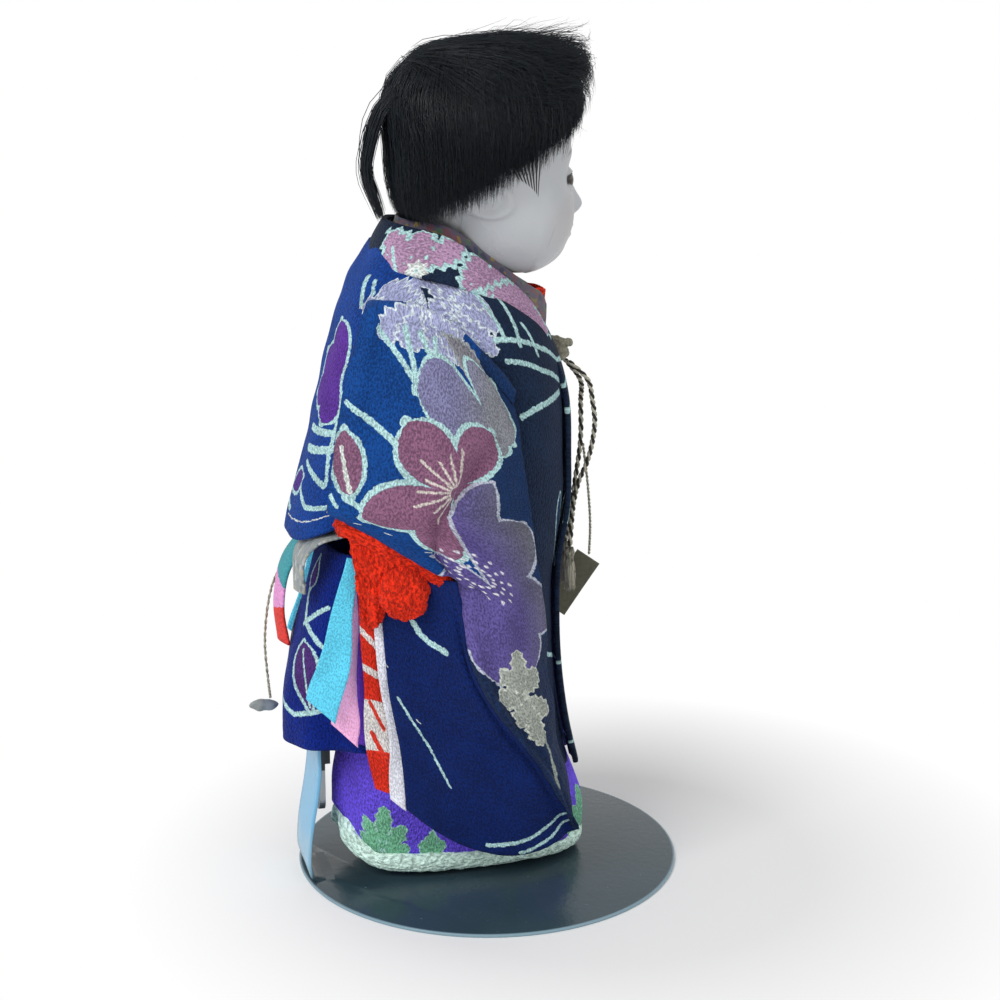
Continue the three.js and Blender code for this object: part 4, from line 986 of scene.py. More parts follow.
def hair_finish():
    finish, tree, shader = new_finish("black_hair")
    place = object_mm(tree)
    drawn_out = vec(tree, "MULTIPLY", place, (1.6, 1.6, 0.25))
    streak = add_node(tree, "ShaderNodeTexNoise", "Fac", Vector=drawn_out, Scale=1.0)
    colour = tint(tree, streak, ink("#03080d"), ink("#0e1924"))
    set_inputs(tree, shader, Base_Color=colour, Roughness=0.36, Specular_IOR_Level=0.36)
    return finish


black_hair = hair_finish()
HAIR_STEPS = 8


def frizz(paths, dice, slow, fast):
    count, steps, _ = paths.shape
    t = np.linspace(0, 1, steps)
    for rate, size in ((2.4, slow), (11.0, fast)):
        wave = np.sin(rate * t + dice.uniform(0, 6.3, (count, 1)))[..., None]
        paths = paths + wave * dice.normal(0, size, (count, 1, 3))
    return paths


def hang(count, low, high, seed):
    dice = np.random.default_rng(seed)
    turn = dice.uniform(-math.pi, math.pi, count)
    cut = cut_tilt(turn) - dice.normal(0.02, 0.06, count)
    root = dice.uniform(0.35, 1.35, count)
    drift = dice.normal(0, 0.07, count)
    t = np.linspace(0, 1, HAIR_STEPS)
    paths = hair_point(turn[:, None] + drift[:, None] * (1 - t), root[:, None] + (cut - root)[:, None] * t)
    layer = dice.uniform(low, high, count)[:, None, None]
    return frizz(HAIR_CENTRE + (paths - HAIR_CENTRE) * layer, dice, 0.6, 0.28)


def sweep(count, low, high, seed):
    dice = np.random.default_rng(seed)
    turn = dice.normal(0, 0.75, count)
    paths = hair_paths(turn, dice.uniform(0, 0.5, count), dice.uniform(0.7, 1.03, count), HAIR_STEPS)
    layer = dice.uniform(low, high, count)[:, None, None]
    return frizz(HAIR_CENTRE + (paths - HAIR_CENTRE) * layer, dice, 0.9, 0.32)


def fly(count, reach, droop, lift, seed):
    dice = np.random.default_rng(seed)
    turn = dice.normal(0, 0.8, count)
    root = hair_paths(turn, dice.uniform(reach[0], reach[1], count), np.ones(count), 2)[:, 0]
    t = np.linspace(0, 1, HAIR_STEPS)[None, :, None]
    length = dice.uniform(8, 22, (count, 1, 1))
    ahead = np.stack([dice.normal(0, 0.12, count), -np.ones(count), dice.normal(0.02, 0.1, count)], axis=1)[:, None]
    fall = np.zeros((count, 1, 3))
    fall[:, 0, 2] = -dice.uniform(0, droop, count)
    paths = root[:, None] + length * ahead * t + fall * t ** 2
    paths[..., 2] += lift * dice.uniform(0, 1, (count, 1)) * t[..., 0]
    ahead_limit = BROW_LIMIT + 0.3 * np.abs(paths[..., 0]) - 2.2 * dice.uniform(0, 1, (count, 1))
    paths[..., 1] = np.maximum(paths[..., 1], ahead_limit + 0.06 * (paths[..., 1] - ahead_limit))
    return frizz(paths, dice, 0.8, 0.35)


# %% Cap, layers and stray hairs
CAP_COLUMNS = 120
CAP_SHARE, CAP_RIM = 0.955, 0.15
edge_tilt = cut_tilt(np.linspace(0, 2 * math.pi, CAP_COLUMNS + 1))


def cap_surface(u, v):
    turn = np.array(2 * math.pi * u)
    low = edge_tilt[round(u * CAP_COLUMNS)] + 0.08
    if v < CAP_RIM:
        edge = hair_point(turn, low)
        return Vector(HAIR_CENTRE + (edge - HAIR_CENTRE) * (0.86 + 0.09 * v / CAP_RIM))
    tilt = low + (math.pi / 2 - low) * (v - CAP_RIM) / (1 - CAP_RIM)
    return Vector(HAIR_CENTRE + (hair_point(turn, tilt) - HAIR_CENTRE) * CAP_SHARE)


cap = smooth_all(lay_grid("hair_cap", cap_surface, CAP_COLUMNS, 60))
wear(cap, black_hair, "hair", "head", "wig")
HAIR_LAYERS = {
    "hair_under": (hang(4600, low=0.955, high=0.99, seed=3), 0.14),
    "hair_sides": (hang(4400, low=0.985, high=1.02, seed=5), 0.1),
    "hair_top": (sweep(3600, low=0.985, high=1.02, seed=7), 0.1),
    "hair_brow": (fly(1900, (0.35, 0.75), droop=9, lift=0.5, seed=9), 0.09),
    "hair_wisps": (fly(560, (0.0, 0.5), droop=3, lift=4.6, seed=13), 0.065),
}
for name, (paths, thick) in HAIR_LAYERS.items():
    strands = strand_piece(name, paths, np.full(len(paths), thick) * grow.uniform(0.7, 1.1, len(paths)))
    wear(strands, black_hair, "hair", "head", "wig")
print("strands:", sum(len(paths) for paths, _ in HAIR_LAYERS.values()))

# %% [markdown]
# One lock stands off behind the head. It is a bundle of strands that follow a single bent line, each with its own
# offset and a slow sway, widest at a third of the way down.

# %% The lock at the back
LOCK_COUNT, LOCK_STEPS, LOCK_THICK = 620, 12, 0.13
lock_line = smooth_line([(0, 14, 235), (0, 24, 231.5), (0, 31, 223.5), (0, 33.4, 216), (0, 34.4, 211), (0, 34, 206),
                         (0, 32, 200.4), (0, 30.6, 196.2)])
spine = np.array([lock_line(k / (LOCK_STEPS - 1)) for k in range(LOCK_STEPS)])
spread = np.interp(np.linspace(0, 1, LOCK_STEPS), [0, 0.35, 0.8, 1], [0.5, 1.0, 0.75, 0.6])[None, :, None]
offset = grow.normal(0, 1, (LOCK_COUNT, 1, 3)) * (2.1, 0.5, 1.0)
phase = np.linspace(0, 3, LOCK_STEPS)[None, :, None] + grow.uniform(0, 6, (LOCK_COUNT, 1, 1))
sway = np.sin(phase) * grow.normal(0, 0.5, (LOCK_COUNT, 1, 3))
paths = spine + offset * spread + sway
lock = strand_piece("hair_lock", paths, np.full(LOCK_COUNT, LOCK_THICK), np.array((0, 0, 214.0)))
wear(lock, black_hair, "hair", "head", "back_lock")
print("lock of", LOCK_COUNT, "strands")

# %% [markdown]
# Brocade has its pattern woven in. Cells of a Voronoi texture, stretched along the warp, stand for the floats of
# coloured thread, and a fine wave across them for the ribs of the weave.


# %% Brocade
def brocade_finish(name, ground, dyes, size):
    finish, tree, shader = new_finish(name)
    flat = add_node(tree, "ShaderNodeUVMap", "UV")
    cells = tree.nodes.new("ShaderNodeTexVoronoi")
    set_inputs(tree, cells.inputs, Vector=vec(tree, "MULTIPLY", flat, (1.0, 0.6, 1.0)), Scale=1 / size)
    pick = axes(tree, cells.outputs["Color"])[0]
    colour = ink(ground)
    for k, dye in enumerate(dyes):
        here = calc(tree, "LESS_THAN", calc(tree, "ABSOLUTE", calc(tree, "SUBTRACT", pick, 0.2 + 0.19 * k)), 0.07)
        colour = tint(tree, here, colour, ink(dye))
    ribs = add_node(tree, "ShaderNodeTexWave", "Fac", Vector=flat, Scale=0.9, Distortion=0.4)
    colour = tint(tree, calc(tree, "MULTIPLY", ribs, 0.3), colour, ink("#2b2a30"))
    lifted = calc(tree, "MULTIPLY_ADD", cells.outputs["Distance"], -0.6, ribs)
    bump = add_node(tree, "ShaderNodeBump", "Normal", Height=lifted, Strength=0.5, Distance=0.3 * MM)
    set_inputs(tree, shader, Base_Color=colour, Normal=bump, Roughness=0.5, Sheen_Weight=0.2)
    return finish


# %% [markdown]
# ## What is drawn where
# The places below are millimetres on each piece of flat cloth, across and along. The jacket carries plum blossoms
# and ragged chrysanthemums on a web of mint branches, and some petals run on over a seam into the next piece.

# %% Dyes and ways to draw
ROSE, MAUVE, LILAC, LAVENDER = "#b38fb0", "#8a5f7c", "#8281a8", "#a6abd0"
PURPLE, PALE, STAMEN, LEAF, RED, CREAM = "#4b2c86", "#dfe6e2", "#d9cfc9", "#7cc29c", "#dd3a2a", "#ece6e2"
MUM_RIM, LEAF_RIM = ink("#d3dfe8"), ink("#a5dcbc")


def mum(base, tips, width):
    return [blossom(base, [tip], width, LAVENDER, line=0.8, rim=MUM_RIM, teeth=1.1, blunt=2.0) for tip in tips]


def ragged_rose(base, tips, width, line=1.6):
    return blossom(base, tips, width, ROSE, line=line, teeth=1.2)


def fleck(begin, end, width=0.5):
    return branch(begin, end, width=width, dye=ink(PALE))


def leaf(middle, tips, width):
    placed = [(middle + u, v) for u, v in tips]
    return blossom((middle, 0), placed, width, LEAF, line=0.5, rim=LEAF_RIM, teeth=0.5)


# %% Prints of the sleeves, with painted shade
SLEEVE_PRINT_AND_SHADE = [
    # Painted shade: the sleeve's front part, which turns away from the light, is painted a darker blue.
    band_of(0, -90, -15, "#14315c"),
    # The lower sleeve, past 96 mm along, is painted a darker blue.
    band_of(1, 96, 200, "#15294c"),
    *mum((17, -9), [(-11, -8)], 6),
    *mum((12, -7), [(-8, 0)], 6.5),
    *mum((6, -6), [(17, 5), (9, 8), (-3, 9), (-10, 5)], 4.6),
    blossom((-1, 0), [(-22, 11), (-17, 3)], 3.6, "#8b8a93", line=0.9, rim=ink("#a9aeb0"), teeth=0.6),
    branch((18, 1), (5.9, 17.9)),
    branch((10, 1.7), (6.3, 17.9)),
    branch((5.9, 2.7), (0.3, 13)),
    branch((1.5, 3), (1.2, 12)),
    blossom((-14, 15), [(6.5, 18), (-3, 29), (-17, 33), (-27, 22), (-20, 3)], 9.2, LILAC,
            worn=("#8d8f98", -4, -18)),
    branch((25.7, 23.2), (10.4, 33.4), width=1.7),
    branch((25.5, 47.5), (19.9, 51.8), width=1.7),
    branch((29.8, 48.1), (28.3, 50.4)),
    blossom((24.4, 47), [(26.2, 30.6)], 4.4, MAUVE, blunt=1.0),
    fleck((26.9, 35.1), (24.3, 46), 1.3),
    blossom((-5.8, 44.5), [(21.8, 54, 6.6), (9, 27), (-18, 22.5), (11, 70.5, 6.4), (-19, 52)], 7.8, MAUVE,
            line=1.7, blunt=1.4),
    heart_of((-5.8, 44.5), 14, "Stamens", STAMEN, lean=-20),
    fleck((33, 52), (31.8, 52.6)),
    fleck((26, 56.4), (24.8, 57)),
    fleck((20.5, 61), (19.4, 61.7)),
    fleck((15, 68), (14.2, 68.8)),
    blossom((2, 80), [(-19, 41, 6.6), (-27, 58), (-25, 88), (-9, 107), (6.5, 110), (17, 101, 7), (20, 88, 6.5),
                      (15, 71, 6)], 9.4, "#605596", line=1.1, rim=ink("#b9bfd0"), worn=("#6a6c78", -4, -26)),
    heart_of((3.6, 76), 11.5, "Dots", "#e4e2ec"),
    blossom((-1.5, 115), [(8.6, 115), (5, 106), (-2, 100), (-10, 107), (5, 124), (1.3, 132), (-8, 124)], 3.4,
            "#a6aca4", line=1.0, rim=ink("#cdd3c8"), teeth=0.9),
    branch((-2, 129), (3, 146), width=1.4, dye=ink("#9aa49c")),
]
BAG_PRINT = [
    branch((2.6, 13.8), (1.4, 16.8), (-1.2, 18.8), (-6, 20), width=1.9),
    branch((14.3, 40.5), (9.8, 69.6), width=0.9),
    branch((1.9, 87.5), (-12, 84.5), (-27, 77), width=1.2),
    branch((-8, 89.4), (-18, 87), (-28, 81), width=1.2),
    fleck((14, 31), (14.4, 29.6), 0.4),
    fleck((11, 48), (11.3, 46.8), 0.4),
]
print("drawn on a sleeve:", len(SLEEVE_PRINT_AND_SHADE) + len(BAG_PRINT))

# %% Prints of collar, fronts and back
COLLAR_PRINT = [
    ragged_rose((5, 180.6), [(-3.6, 194), (-7.5, 172.5), (5.5, 194), (-6.6, 184)], 4.4),
    branch((7, 186), (0, 190), width=1.0),
    heart_of((5, 180.6), 3.4, "Stamens", PALE),
    ragged_rose((7, 168), [(-6, 156), (-7.4, 164)], 4.4, 1.7),
    ragged_rose((4.6, 163), [(0.6, 134), (-4, 142)], 4.8, 1.8),
    branch((8, 129), (0, 124.5)),
    branch((-6, 121), (6, 117)),
    branch((7, 108), (-6, 115)),
    blossom((-1, 62), [(1, 84)], 2.6, "#1b2c4c", line=0.7),
    branch((-6, 33), (6, 33), width=0.9),
    branch((-6, 8), (6, 7), width=0.9),
    ragged_rose((5, 222), [(-4, 236), (-7, 224), (-4, 210)], 4.4),
    ragged_rose((5, 262), [(0, 286), (-5, 272)], 4.6, 1.7),
    branch((7, 300), (-6, 307)),
]
FRONT_PRINT = [
    *mum((30, 137), [(17, 136)], 6),
    *mum((24, 137.4), [(24, 148), (17, 146), (9.6, 140), (9, 133), (12, 125), (19, 122), (25, 124)], 3.6),
    branch((12.2, 143.4), (8.7, 129.9)),
    branch((3.1, 144.1), (3.6, 130.2)),
    branch((-0.6, 138), (-4.3, 131)),
    branch((12, 129), (-6, 134), (-24.3, 141)),
    branch((8.9, 124), (-6, 127), (-21, 133)),
    branch((4.2, 109.7), (-8, 119), (-20, 129)),
    blossom((-20, 74), [(-17, 95)], 2.8, "#1c3157", line=0.7),
    branch((-24, 40), (-8, 41)),
]
BACK_PRINT = [
    *mum((35.5, 71), [(26, 62), (18, 66.5), (13.6, 71.5), (18, 77), (26, 81)], 3.8),
    *mum((-35.5, 71), [(-26, 62), (-18, 66.5), (-13.6, 71.5), (-18, 77), (-26, 81)], 3.8),
    branch((11, 80), (13.5, 72)),
    branch((14.5, 79), (16.6, 75), width=1.1),
    branch((19, 67), (26, 52)),
    blossom((13, 50), [(4, 66), (-3, 56), (-2, 44), (8, 37)], 5.0, "#5a2f96", line=1.3),
    branch((2, 34.8), (22, 33.2), width=2.2),
    branch((2, 28.6), (20, 29.2), width=2.4),
    branch((14.8, 37), (15, 28), (16, 18)),
    branch((3, 24.6), (16, 17.6)),
    branch((2, 18), (9, 12), (22, 10)),
    blossom((-8, 14), [(3, 20)], 3.2, PURPLE, line=1.1),
    blossom((-20, 36), [(-30, 46), (-10, 44), (-27, 25), (-13, 25)], 6.0, MAUVE),
    heart_of((-20, 36), 8, "Stamens", STAMEN),
    branch((-34, 8), (-20, 14), (-2, 9)),
    fleck((-2, 7.4), (27, 7.4), 0.35),
]
FLAP_PRINT = [
    blossom((18, 11.5), [(10.2, 31)], 4.6, "#4a2a72", line=1.1),
    branch((17.4, 13), (11, 29), width=0.7),
    branch((4, 46), (8, 37), (20, 30)),
    branch((7.5, 36), (16, 43)),
    branch((4, 12), (12, 9.5), (22, 12.5)),
    blossom((3, 55), [(5, 46)], 2.4, PURPLE, line=0.9),
    branch((22, 48), (24, 34), (22, 22)),
    blossom((-16, 24), [(-27, 30), (-22, 14), (-8, 14), (-6, 28), (-16, 36)], 6.4, MAUVE),
    heart_of((-16, 24), 8, "Stamens", STAMEN),
    branch((-30, 46), (-16, 40), (-2, 44)),
]
print("drawn on the jacket:", len(COLLAR_PRINT) + len(FRONT_PRINT) + len(BACK_PRINT) + len(FLAP_PRINT))

# %% Prints of robe, sash and stripes
SKIRT_PRINT = []
for middle in (-112, -68, -23.5, 20, 62, 100):
    SKIRT_PRINT += [
        leaf(middle, [(0, 15), (-6.4, 9.6), (6.2, 9.2), (-8, 3), (7.6, 3)], 2.5),
        leaf(middle - 14.6, [(0, 8), (-3.4, 5), (3, 5)], 1.9),
    ]
TAIL_PRINT = [
    band_of(1, -5, 25, "#3f9aa4", 0.2),
    band_of(1, 34, 60, "#dd3a34", -0.3),
]
STRIPE_PRINT = [
    band_of(1, 20.4, 22.8, CREAM, -0.5),
    band_of(1, 29.6, 32, CREAM, 0.1),
    band_of(1, 39, 54, "#e6e2e0", 0.4),
    branch((-3, 41), (2, 46), width=1.6, dye=ink(RED)),
    branch((-2, 50), (3, 56), width=2, dye=ink(RED)),
    band_of(1, 67.5, 80, CREAM, 0.6),
]
print("drawn on robe, sash and stripes:", len(SKIRT_PRINT) + len(TAIL_PRINT) + len(STRIPE_PRINT))

# %% [markdown]
# ## Limbs under the clothes
# Upper arms and thighs are cotton tubes stuffed tight, so that they swing. Each is a ring of points led along a
# line, closed at both ends. The same function later makes hems, knots and cords, so the ring may be oval and may
# change its size along the line.


# %% Lead a ring along a line
def lead_ring(name, line, section, sides, steps):
    spots = np.array([line(k / steps) for k in range(steps + 1)])
    along = np.gradient(spots, axis=0)
    along /= np.linalg.norm(along, axis=1, keepdims=True)
    across = np.cross(along[0], (0.0, 0.0, 1.0) if abs(along[0][2]) < 0.9 else (1.0, 0.0, 0.0))
    frames = []
    for way in along:
        across = across - way * (across @ way)
        across /= np.linalg.norm(across)
        frames.append((across, np.cross(way, across)))

    def surface(u, v):
        k = round(v * steps)
        a, b = section(v, 2 * math.pi * u)
        return Vector(spots[k] + frames[k][0] * a + frames[k][1] * b)

    piece = lay_grid(name, surface, sides, steps)
    merge_doubles(piece, 1e-5)
    return smooth_all(piece)


def rounded(radius, tight=0.08):
    def section(v, angle):
        end = min(v, 1 - v) / tight
        r = radius * (math.sqrt(max(1 - (1 - end) ** 2, 0)) if end < 1 else 1)
        return r * math.cos(angle), r * math.sin(angle)
    return section


# %% Stuffed arms and thighs
def mirrored(points, side):
    return [(-side * x, y, z) for x, y, z in points]


ARM = [(-19.5, 20, 154), (-26, 20, 154), (-30, 20.2, 150), (-31.2, 22.4, 134), (-31.6, 24, 124)]
THIGH = [(-6.6, 10, 93.6), (-6.6, 10, 72), (-6.6, 10, 50.4)]
ARM_RADIUS, THIGH_RADIUS = 4.4, 6.0
for name, side in SIDES:
    arm_line = smooth_line(mirrored(ARM, side))
    arm = lead_ring(f"stuffed_arm_{name}", arm_line, rounded(ARM_RADIUS), sides=24, steps=40)
    wear(arm, stuffed_cotton, "stuffed_cotton", f"{name}_arm", f"upper_arm_{name}")
    thigh_line = smooth_line(mirrored(THIGH, side))
    thigh = lead_ring(f"stuffed_thigh_{name}", thigh_line, rounded(THIGH_RADIUS, 0.14), sides=28, steps=40)
    wear(thigh, stuffed_cotton, "stuffed_cotton", f"{name}_leg", f"thigh_{name}")
print("limbs stuffed")

# %% [markdown]
# ## The robes
# Three outlines, for the body, the jacket and its lower back, give the half width, front and back at each height.
# A robe follows the body's outline at its own distance. The kimono goes round more than one and a third times,
# left front over right, so its distance grows as it winds. Its padded hem is lifted at the back, over the tongue.

# %% Outlines of body and jacket
BODY = [(0, 10.6, -23.4, 42), (18, 12.4, -24, 43), (32, 13.8, -19.2, 42.4), (46, 14.4, -15.2, 40),
        (70, 15.2, -11.8, 37), (95, 15.4, -8, 30), (112, 15, -6, 26), (140, 16.6, -7, 27), (158, 18.6, -6, 28),
        (166, 17, -5, 28), (174, 13, -3, 25), (182, 11.5, -2, 23)]
HAORI = [(28, 23.4, -24.4, 60), (45, 23.8, -20.8, 60), (62, 24.9, -18.6, 60), (78, 25, -17.9, 59.6),
         (95, 24.6, -18.3, 59.4), (111, 24.6, -20.8, 57.6), (126, 24.7, -21, 53.4), (148, 24.8, -20, 48),
         (164, 24.8, -16.6, 43.6), (173, 23.8, -10.6, 41), (179, 20.5, -3.4, 39), (184, 17, 4, 35.2),
         (190, 14.6, 9, 31.5)]
HAORI_SKIRT = [(34, 24, -22, 61.6), (60, 24.4, -20, 60.6), (88, 24.4, -14, 53.5), (106, 24.4, -9, 47)]
ROBE_CORNER, HAORI_CORNER = 0.86, 0.76
SHOULDER_Y, SHOULDER_Z = 0.020, 0.154
ARMHOLE = 6.0
HEM_RISE = 15


def robe(degrees, z, out):
    return around(BODY, degrees, z, out, ROBE_CORNER)


def jacket(degrees, z, out):
    return around(HAORI, degrees, z, out, HAORI_CORNER)


def hem_lift(degrees, spread):
    return HEM_RISE * max(-math.cos(math.radians(degrees)), 0) ** spread


def neckline(degrees, back, drop):
    return back - drop * max(math.cos(math.radians(degrees)), 0)


def open_armholes(piece):
    as_active(piece)
    bpy.ops.object.mode_set(mode="EDIT")
    bpy.ops.mesh.select_mode(type="VERT")
    bpy.ops.mesh.select_all(action="DESELECT")
    bpy.ops.object.mode_set(mode="OBJECT")
    for v in piece.data.vertices:
        away = math.hypot(v.co.y - SHOULDER_Y, v.co.z - SHOULDER_Z)
        v.select = away < ARMHOLE * MM and abs(v.co.x) > 0.01
    bpy.ops.object.mode_set(mode="EDIT")
    bpy.ops.mesh.delete(type="VERT")
    bpy.ops.object.mode_set(mode="OBJECT")


# %% Under-robe and kimono
UNDER_ROBE_OUT, KIMONO_OUT, KIMONO_WIND = 1.4, 2.8, 1.8
WRAP_FROM, WRAP = 70, 500
UNDER_ROBE_HEM, KIMONO_HEM = 40, 7.0


def under_robe_surface(u, v):
    degrees = 360 * u
    return robe(degrees, lerp(UNDER_ROBE_HEM, neckline(degrees, 170, 14), v), UNDER_ROBE_OUT)


def kimono_surface(u, v):
    degrees = WRAP_FROM - WRAP * u
    z = lerp(KIMONO_HEM + hem_lift(degrees, 5), neckline(degrees, 172, 16), v)
    fold = 0.7 * math.sin(math.radians(degrees) * 8 + 1.5) * (1 - v) ** 6
    return robe(degrees, z, KIMONO_OUT + KIMONO_WIND * u + fold)


red_crepe = crepe_finish("red_crepe", "#df3018", grain=0.9, depth=1.0, roughness=0.85)
under_robe = lay_grid("under_robe_cloth", under_robe_surface, across=120, along=40)
open_armholes(under_robe)
wear(thicken(under_robe, 0.5), red_crepe, "red_crepe", "doll", "under_robe")
call_cloth(under_robe, "hung", "torso")
purple_crepe = crepe_finish("purple_crepe", "#6e54e6", grain=0.55, depth=0.8, drawn=SKIRT_PRINT)
kimono = lay_grid("kimono_cloth", kimono_surface, across=250, along=80)
open_armholes(kimono)
crumple(kimono, depth=0.5, size=9, seed=4)
wear(thicken(kimono, 0.6), purple_crepe, "purple_crepe", "doll", "kimono")
call_cloth(kimono, "hung", "torso", "under_robe")

# %% Padded hem
mint_crepe = crepe_finish("mint_crepe", "#e0fff2", grain=0.9, depth=0.7, roughness=0.8)
HEM_THICK, HEM_HIGH = 1.7, 2.9
HEM_Z, HEM_OUT = 5.6, 3.9
CLEAR_OF_GUIDE = 44.0


def hem_line(t):
    degrees = 360 * t
    p = robe(degrees, HEM_Z + hem_lift(degrees, 6), HEM_OUT)
    p.y = min(p.y, CLEAR_OF_GUIDE)
    return p


def hem_section(_, angle):
    return HEM_THICK * math.cos(angle), HEM_HIGH * math.sin(angle)


hem = lead_ring("padded_hem", hem_line, hem_section, sides=20, steps=240)
crumple(hem, depth=0.35, size=2.6, seed=9)
wear(hem, mint_crepe, "mint_crepe", "doll", "kimono_hem")
print("robes hung")

# %% [markdown]
# Collars are folded strips. Each runs from one front up over the nape and down the other front, between an inner
# and an outer line, and swells a little between them. The jacket's collar goes on down to the hem as its front
# band.


# %% Collars
def both_sides(half):
    return smooth_line(half + [(-x, y, z) for x, y, z in half[-2::-1]])


def collar(name, inner, outer, bulk, across, along, thick):
    top, low = both_sides(inner), both_sides(outer)

    def surface(u, v):
        p = top(v).lerp(low(v), u)
        away = Vector((p.x, p.y - NECK_Y, 0)).normalized()
        return p + away * bulk * math.sin(math.pi * u)

    strip = lay_grid(name, surface, across, along)
    apply_modifier(strip, "SOLIDIFY", thickness=thick * MM, offset=0, use_even_offset=True)
    apply_modifier(strip, "BEVEL", width=0.32 * thick * MM, segments=3, limit_method="ANGLE",
                   angle_limit=math.radians(50))
    return smooth_under(strip, 60)


under_collar = collar(
    "under_collar_cloth",
    [(-0.8, -16.8, 173.4), (-2.8, -14.8, 174.2), (-7.2, -8, 174.6), (-10.9, 3.5, 180), (-11.4, 13, 187.6),
     (-7.8, 21.4, 191.4), (0, 24.2, 192)],
    [(-1.2, -15.2, 164), (-3.6, -12.4, 166), (-8.4, -6, 168.4), (-11.8, 4, 176), (-12.1, 13, 184.2),
     (-8.3, 22, 187.2), (0, 24.8, 187.8)],
    bulk=0.2, across=8, along=120, thick=0.8)
wear(under_collar, red_crepe, "red_crepe", "doll", "under_collar")
call_cloth(under_collar, "folded", "under_robe")
brocade = brocade_finish("collar_brocade", "#5d5468", ("#8d7a3a", "#7b4b57", "#4d6a55", "#3a3a5c"), 1.3)
kimono_collar = collar(
    "kimono_collar_cloth",
    [(-0.8, -17, 169), (-3.4, -15, 172.6), (-8.6, -8.8, 177), (-13.4, 2.6, 185.8), (-13.6, 14, 194.2),
     (-8.2, 22.8, 195.4), (0, 25.6, 195.6)],
    [(-1.6, -16.2, 160), (-4.6, -13.4, 163.4), (-9.6, -7.5, 168.4), (-13.7, 3.5, 177.6), (-14, 14.4, 185.4),
     (-9.5, 24.4, 187.2), (0, 27.2, 187.6)],
    bulk=0.2, across=8, along=140, thick=0.9)
wear(kimono_collar, brocade, "brocade", "doll", "kimono_collar")
call_cloth(kimono_collar, "folded", "kimono")
deep_blue_crepe = crepe_finish("deep_blue_crepe", "#16253c", grain=0.55, depth=0.8, drawn=COLLAR_PRINT)
haori_collar = collar(
    "haori_collar_cloth",
    [(-2.8, -25.4, 31), (-2.7, -22.3, 45), (-2.6, -20, 62), (-2.6, -19.2, 78), (-2.6, -19.7, 95),
     (-2.6, -22.3, 111), (-2.6, -22.4, 126), (-3, -21.9, 142), (-4.2, -19, 155), (-6.4, -14.8, 164),
     (-10.4, -8.4, 173.2), (-14.8, 4, 184), (-14.8, 15, 191.6), (-9.5, 25.6, 194.4), (0, 28.7, 195)],
    [(-11, -24.6, 31), (-10.9, -21.4, 45), (-10.8, -19.1, 62), (-10.8, -18.3, 78), (-10.6, -18.8, 95),
     (-10.5, -21.3, 111), (-10.5, -21.4, 126), (-10.8, -20.6, 142), (-12, -17.4, 153), (-14, -13.2, 161),
     (-17.4, -6.6, 168.6), (-21.6, 8, 177), (-20.5, 22.5, 181.4), (-12.5, 31.4, 183), (0, 33.8, 183.4)],
    bulk=0.6, across=14, along=300, thick=1.6)
wear(haori_collar, deep_blue_crepe, "deep_blue_crepe", "doll", "haori_collar")
call_cloth(haori_collar, "folded", "haori_back")

# %% [markdown]
# ## The obi
# A stiff brocade sash, with a knot at the back that the jacket hides. Two tails come out under the jacket's tuck,
# one silver and one rose.


# %% Obi, knot and tails
OBI_LOW, OBI_TOP, OBI_OUT, OBI_THICK = 97, 121, 6.9, 1.9
KNOT_RADIUS = 5.2


def obi_surface(u, v):
    return robe(360 * u, lerp(OBI_LOW, OBI_TOP, v), OBI_OUT)


silver_brocade = brocade_finish("silver_brocade", "#9ea6a6", ("#c9cfcd", "#7f8a92", "#b7b9a8", "#8f9aa4"), 1.1)
rose_silk = crepe_finish("rose_silk", "#e59ad2", grain=0.5, depth=0.3, roughness=0.55, drawn=TAIL_PRINT)
obi = lay_grid("obi_cloth", obi_surface, across=120, along=10)
wear(thicken(obi, OBI_THICK, 50), silver_brocade, "silver_brocade", "doll", "obi")
call_cloth(obi, "stretched", "kimono")
knot_line = smooth_line([(-9, 40, 112), (-4, 40.2, 112), (0, 40, 111.8), (4, 40.2, 112), (9, 40, 112)])


def knot_section(v, angle):
    end = min(1, min(v, 1 - v) * 9)
    waist = 1 - 0.18 * math.exp(-((v - 0.5) / 0.12) ** 2)
    r = KNOT_RADIUS * math.sqrt(end) * waist + 0.2 * math.sin(5 * angle)
    return r * math.cos(angle) * (end > 0), r * math.sin(angle) * (end > 0)


obi_knot = lead_ring("obi_knot_cloth", knot_line, knot_section, sides=40, steps=48)
wear(obi_knot, silver_brocade, "silver_brocade", "doll", "obi_knot")


def tail(name, line, wide, narrow, cup, wave):
    spine = smooth_line(line)

    def surface(u, v):
        p = spine(v)
        across = 2 * u - 1
        p.x += across * lerp(wide, narrow, v) / 2
        p.y -= cup * v * across ** 2 - wave * math.sin(4 * u + 5 * v) * v
        return p

    return thicken(lay_grid(name, surface, across=16, along=40), 0.7)


SILVER_LINE = [(-9.5, 46, 109.6), (-10, 53, 107.5), (-10.2, 57.6, 102), (-9.8, 58, 92)]
ROSE_LINE = [(8, 45.3, 109.6), (8.4, 53.6, 101), (8.6, 58.8, 94), (8.6, 61.4, 82), (8.4, 60.4, 71)]
silver_tail = tail("silver_tail", SILVER_LINE, wide=20, narrow=10, cup=1, wave=0.5)
wear(silver_tail, silver_brocade, "silver_brocade", "doll", "obi_tail_silver")
call_cloth(silver_tail, "hung", "obi_knot")
rose_tail = tail("rose_tail", ROSE_LINE, wide=15, narrow=12, cup=1.4, wave=0.4)
wear(rose_tail, rose_silk, "pink_silk", "doll", "obi_tail_rose")
call_cloth(rose_tail, "hung", "obi_knot")

# %% [markdown]
# ## The jacket
# The haori is sewn from two fronts, an upper back that is tucked up over the obi, and the back's lower part. The
# tuck's lower edge is rolled in, so the upper back ends in a soft fold. Panels lap a little at the side seam.


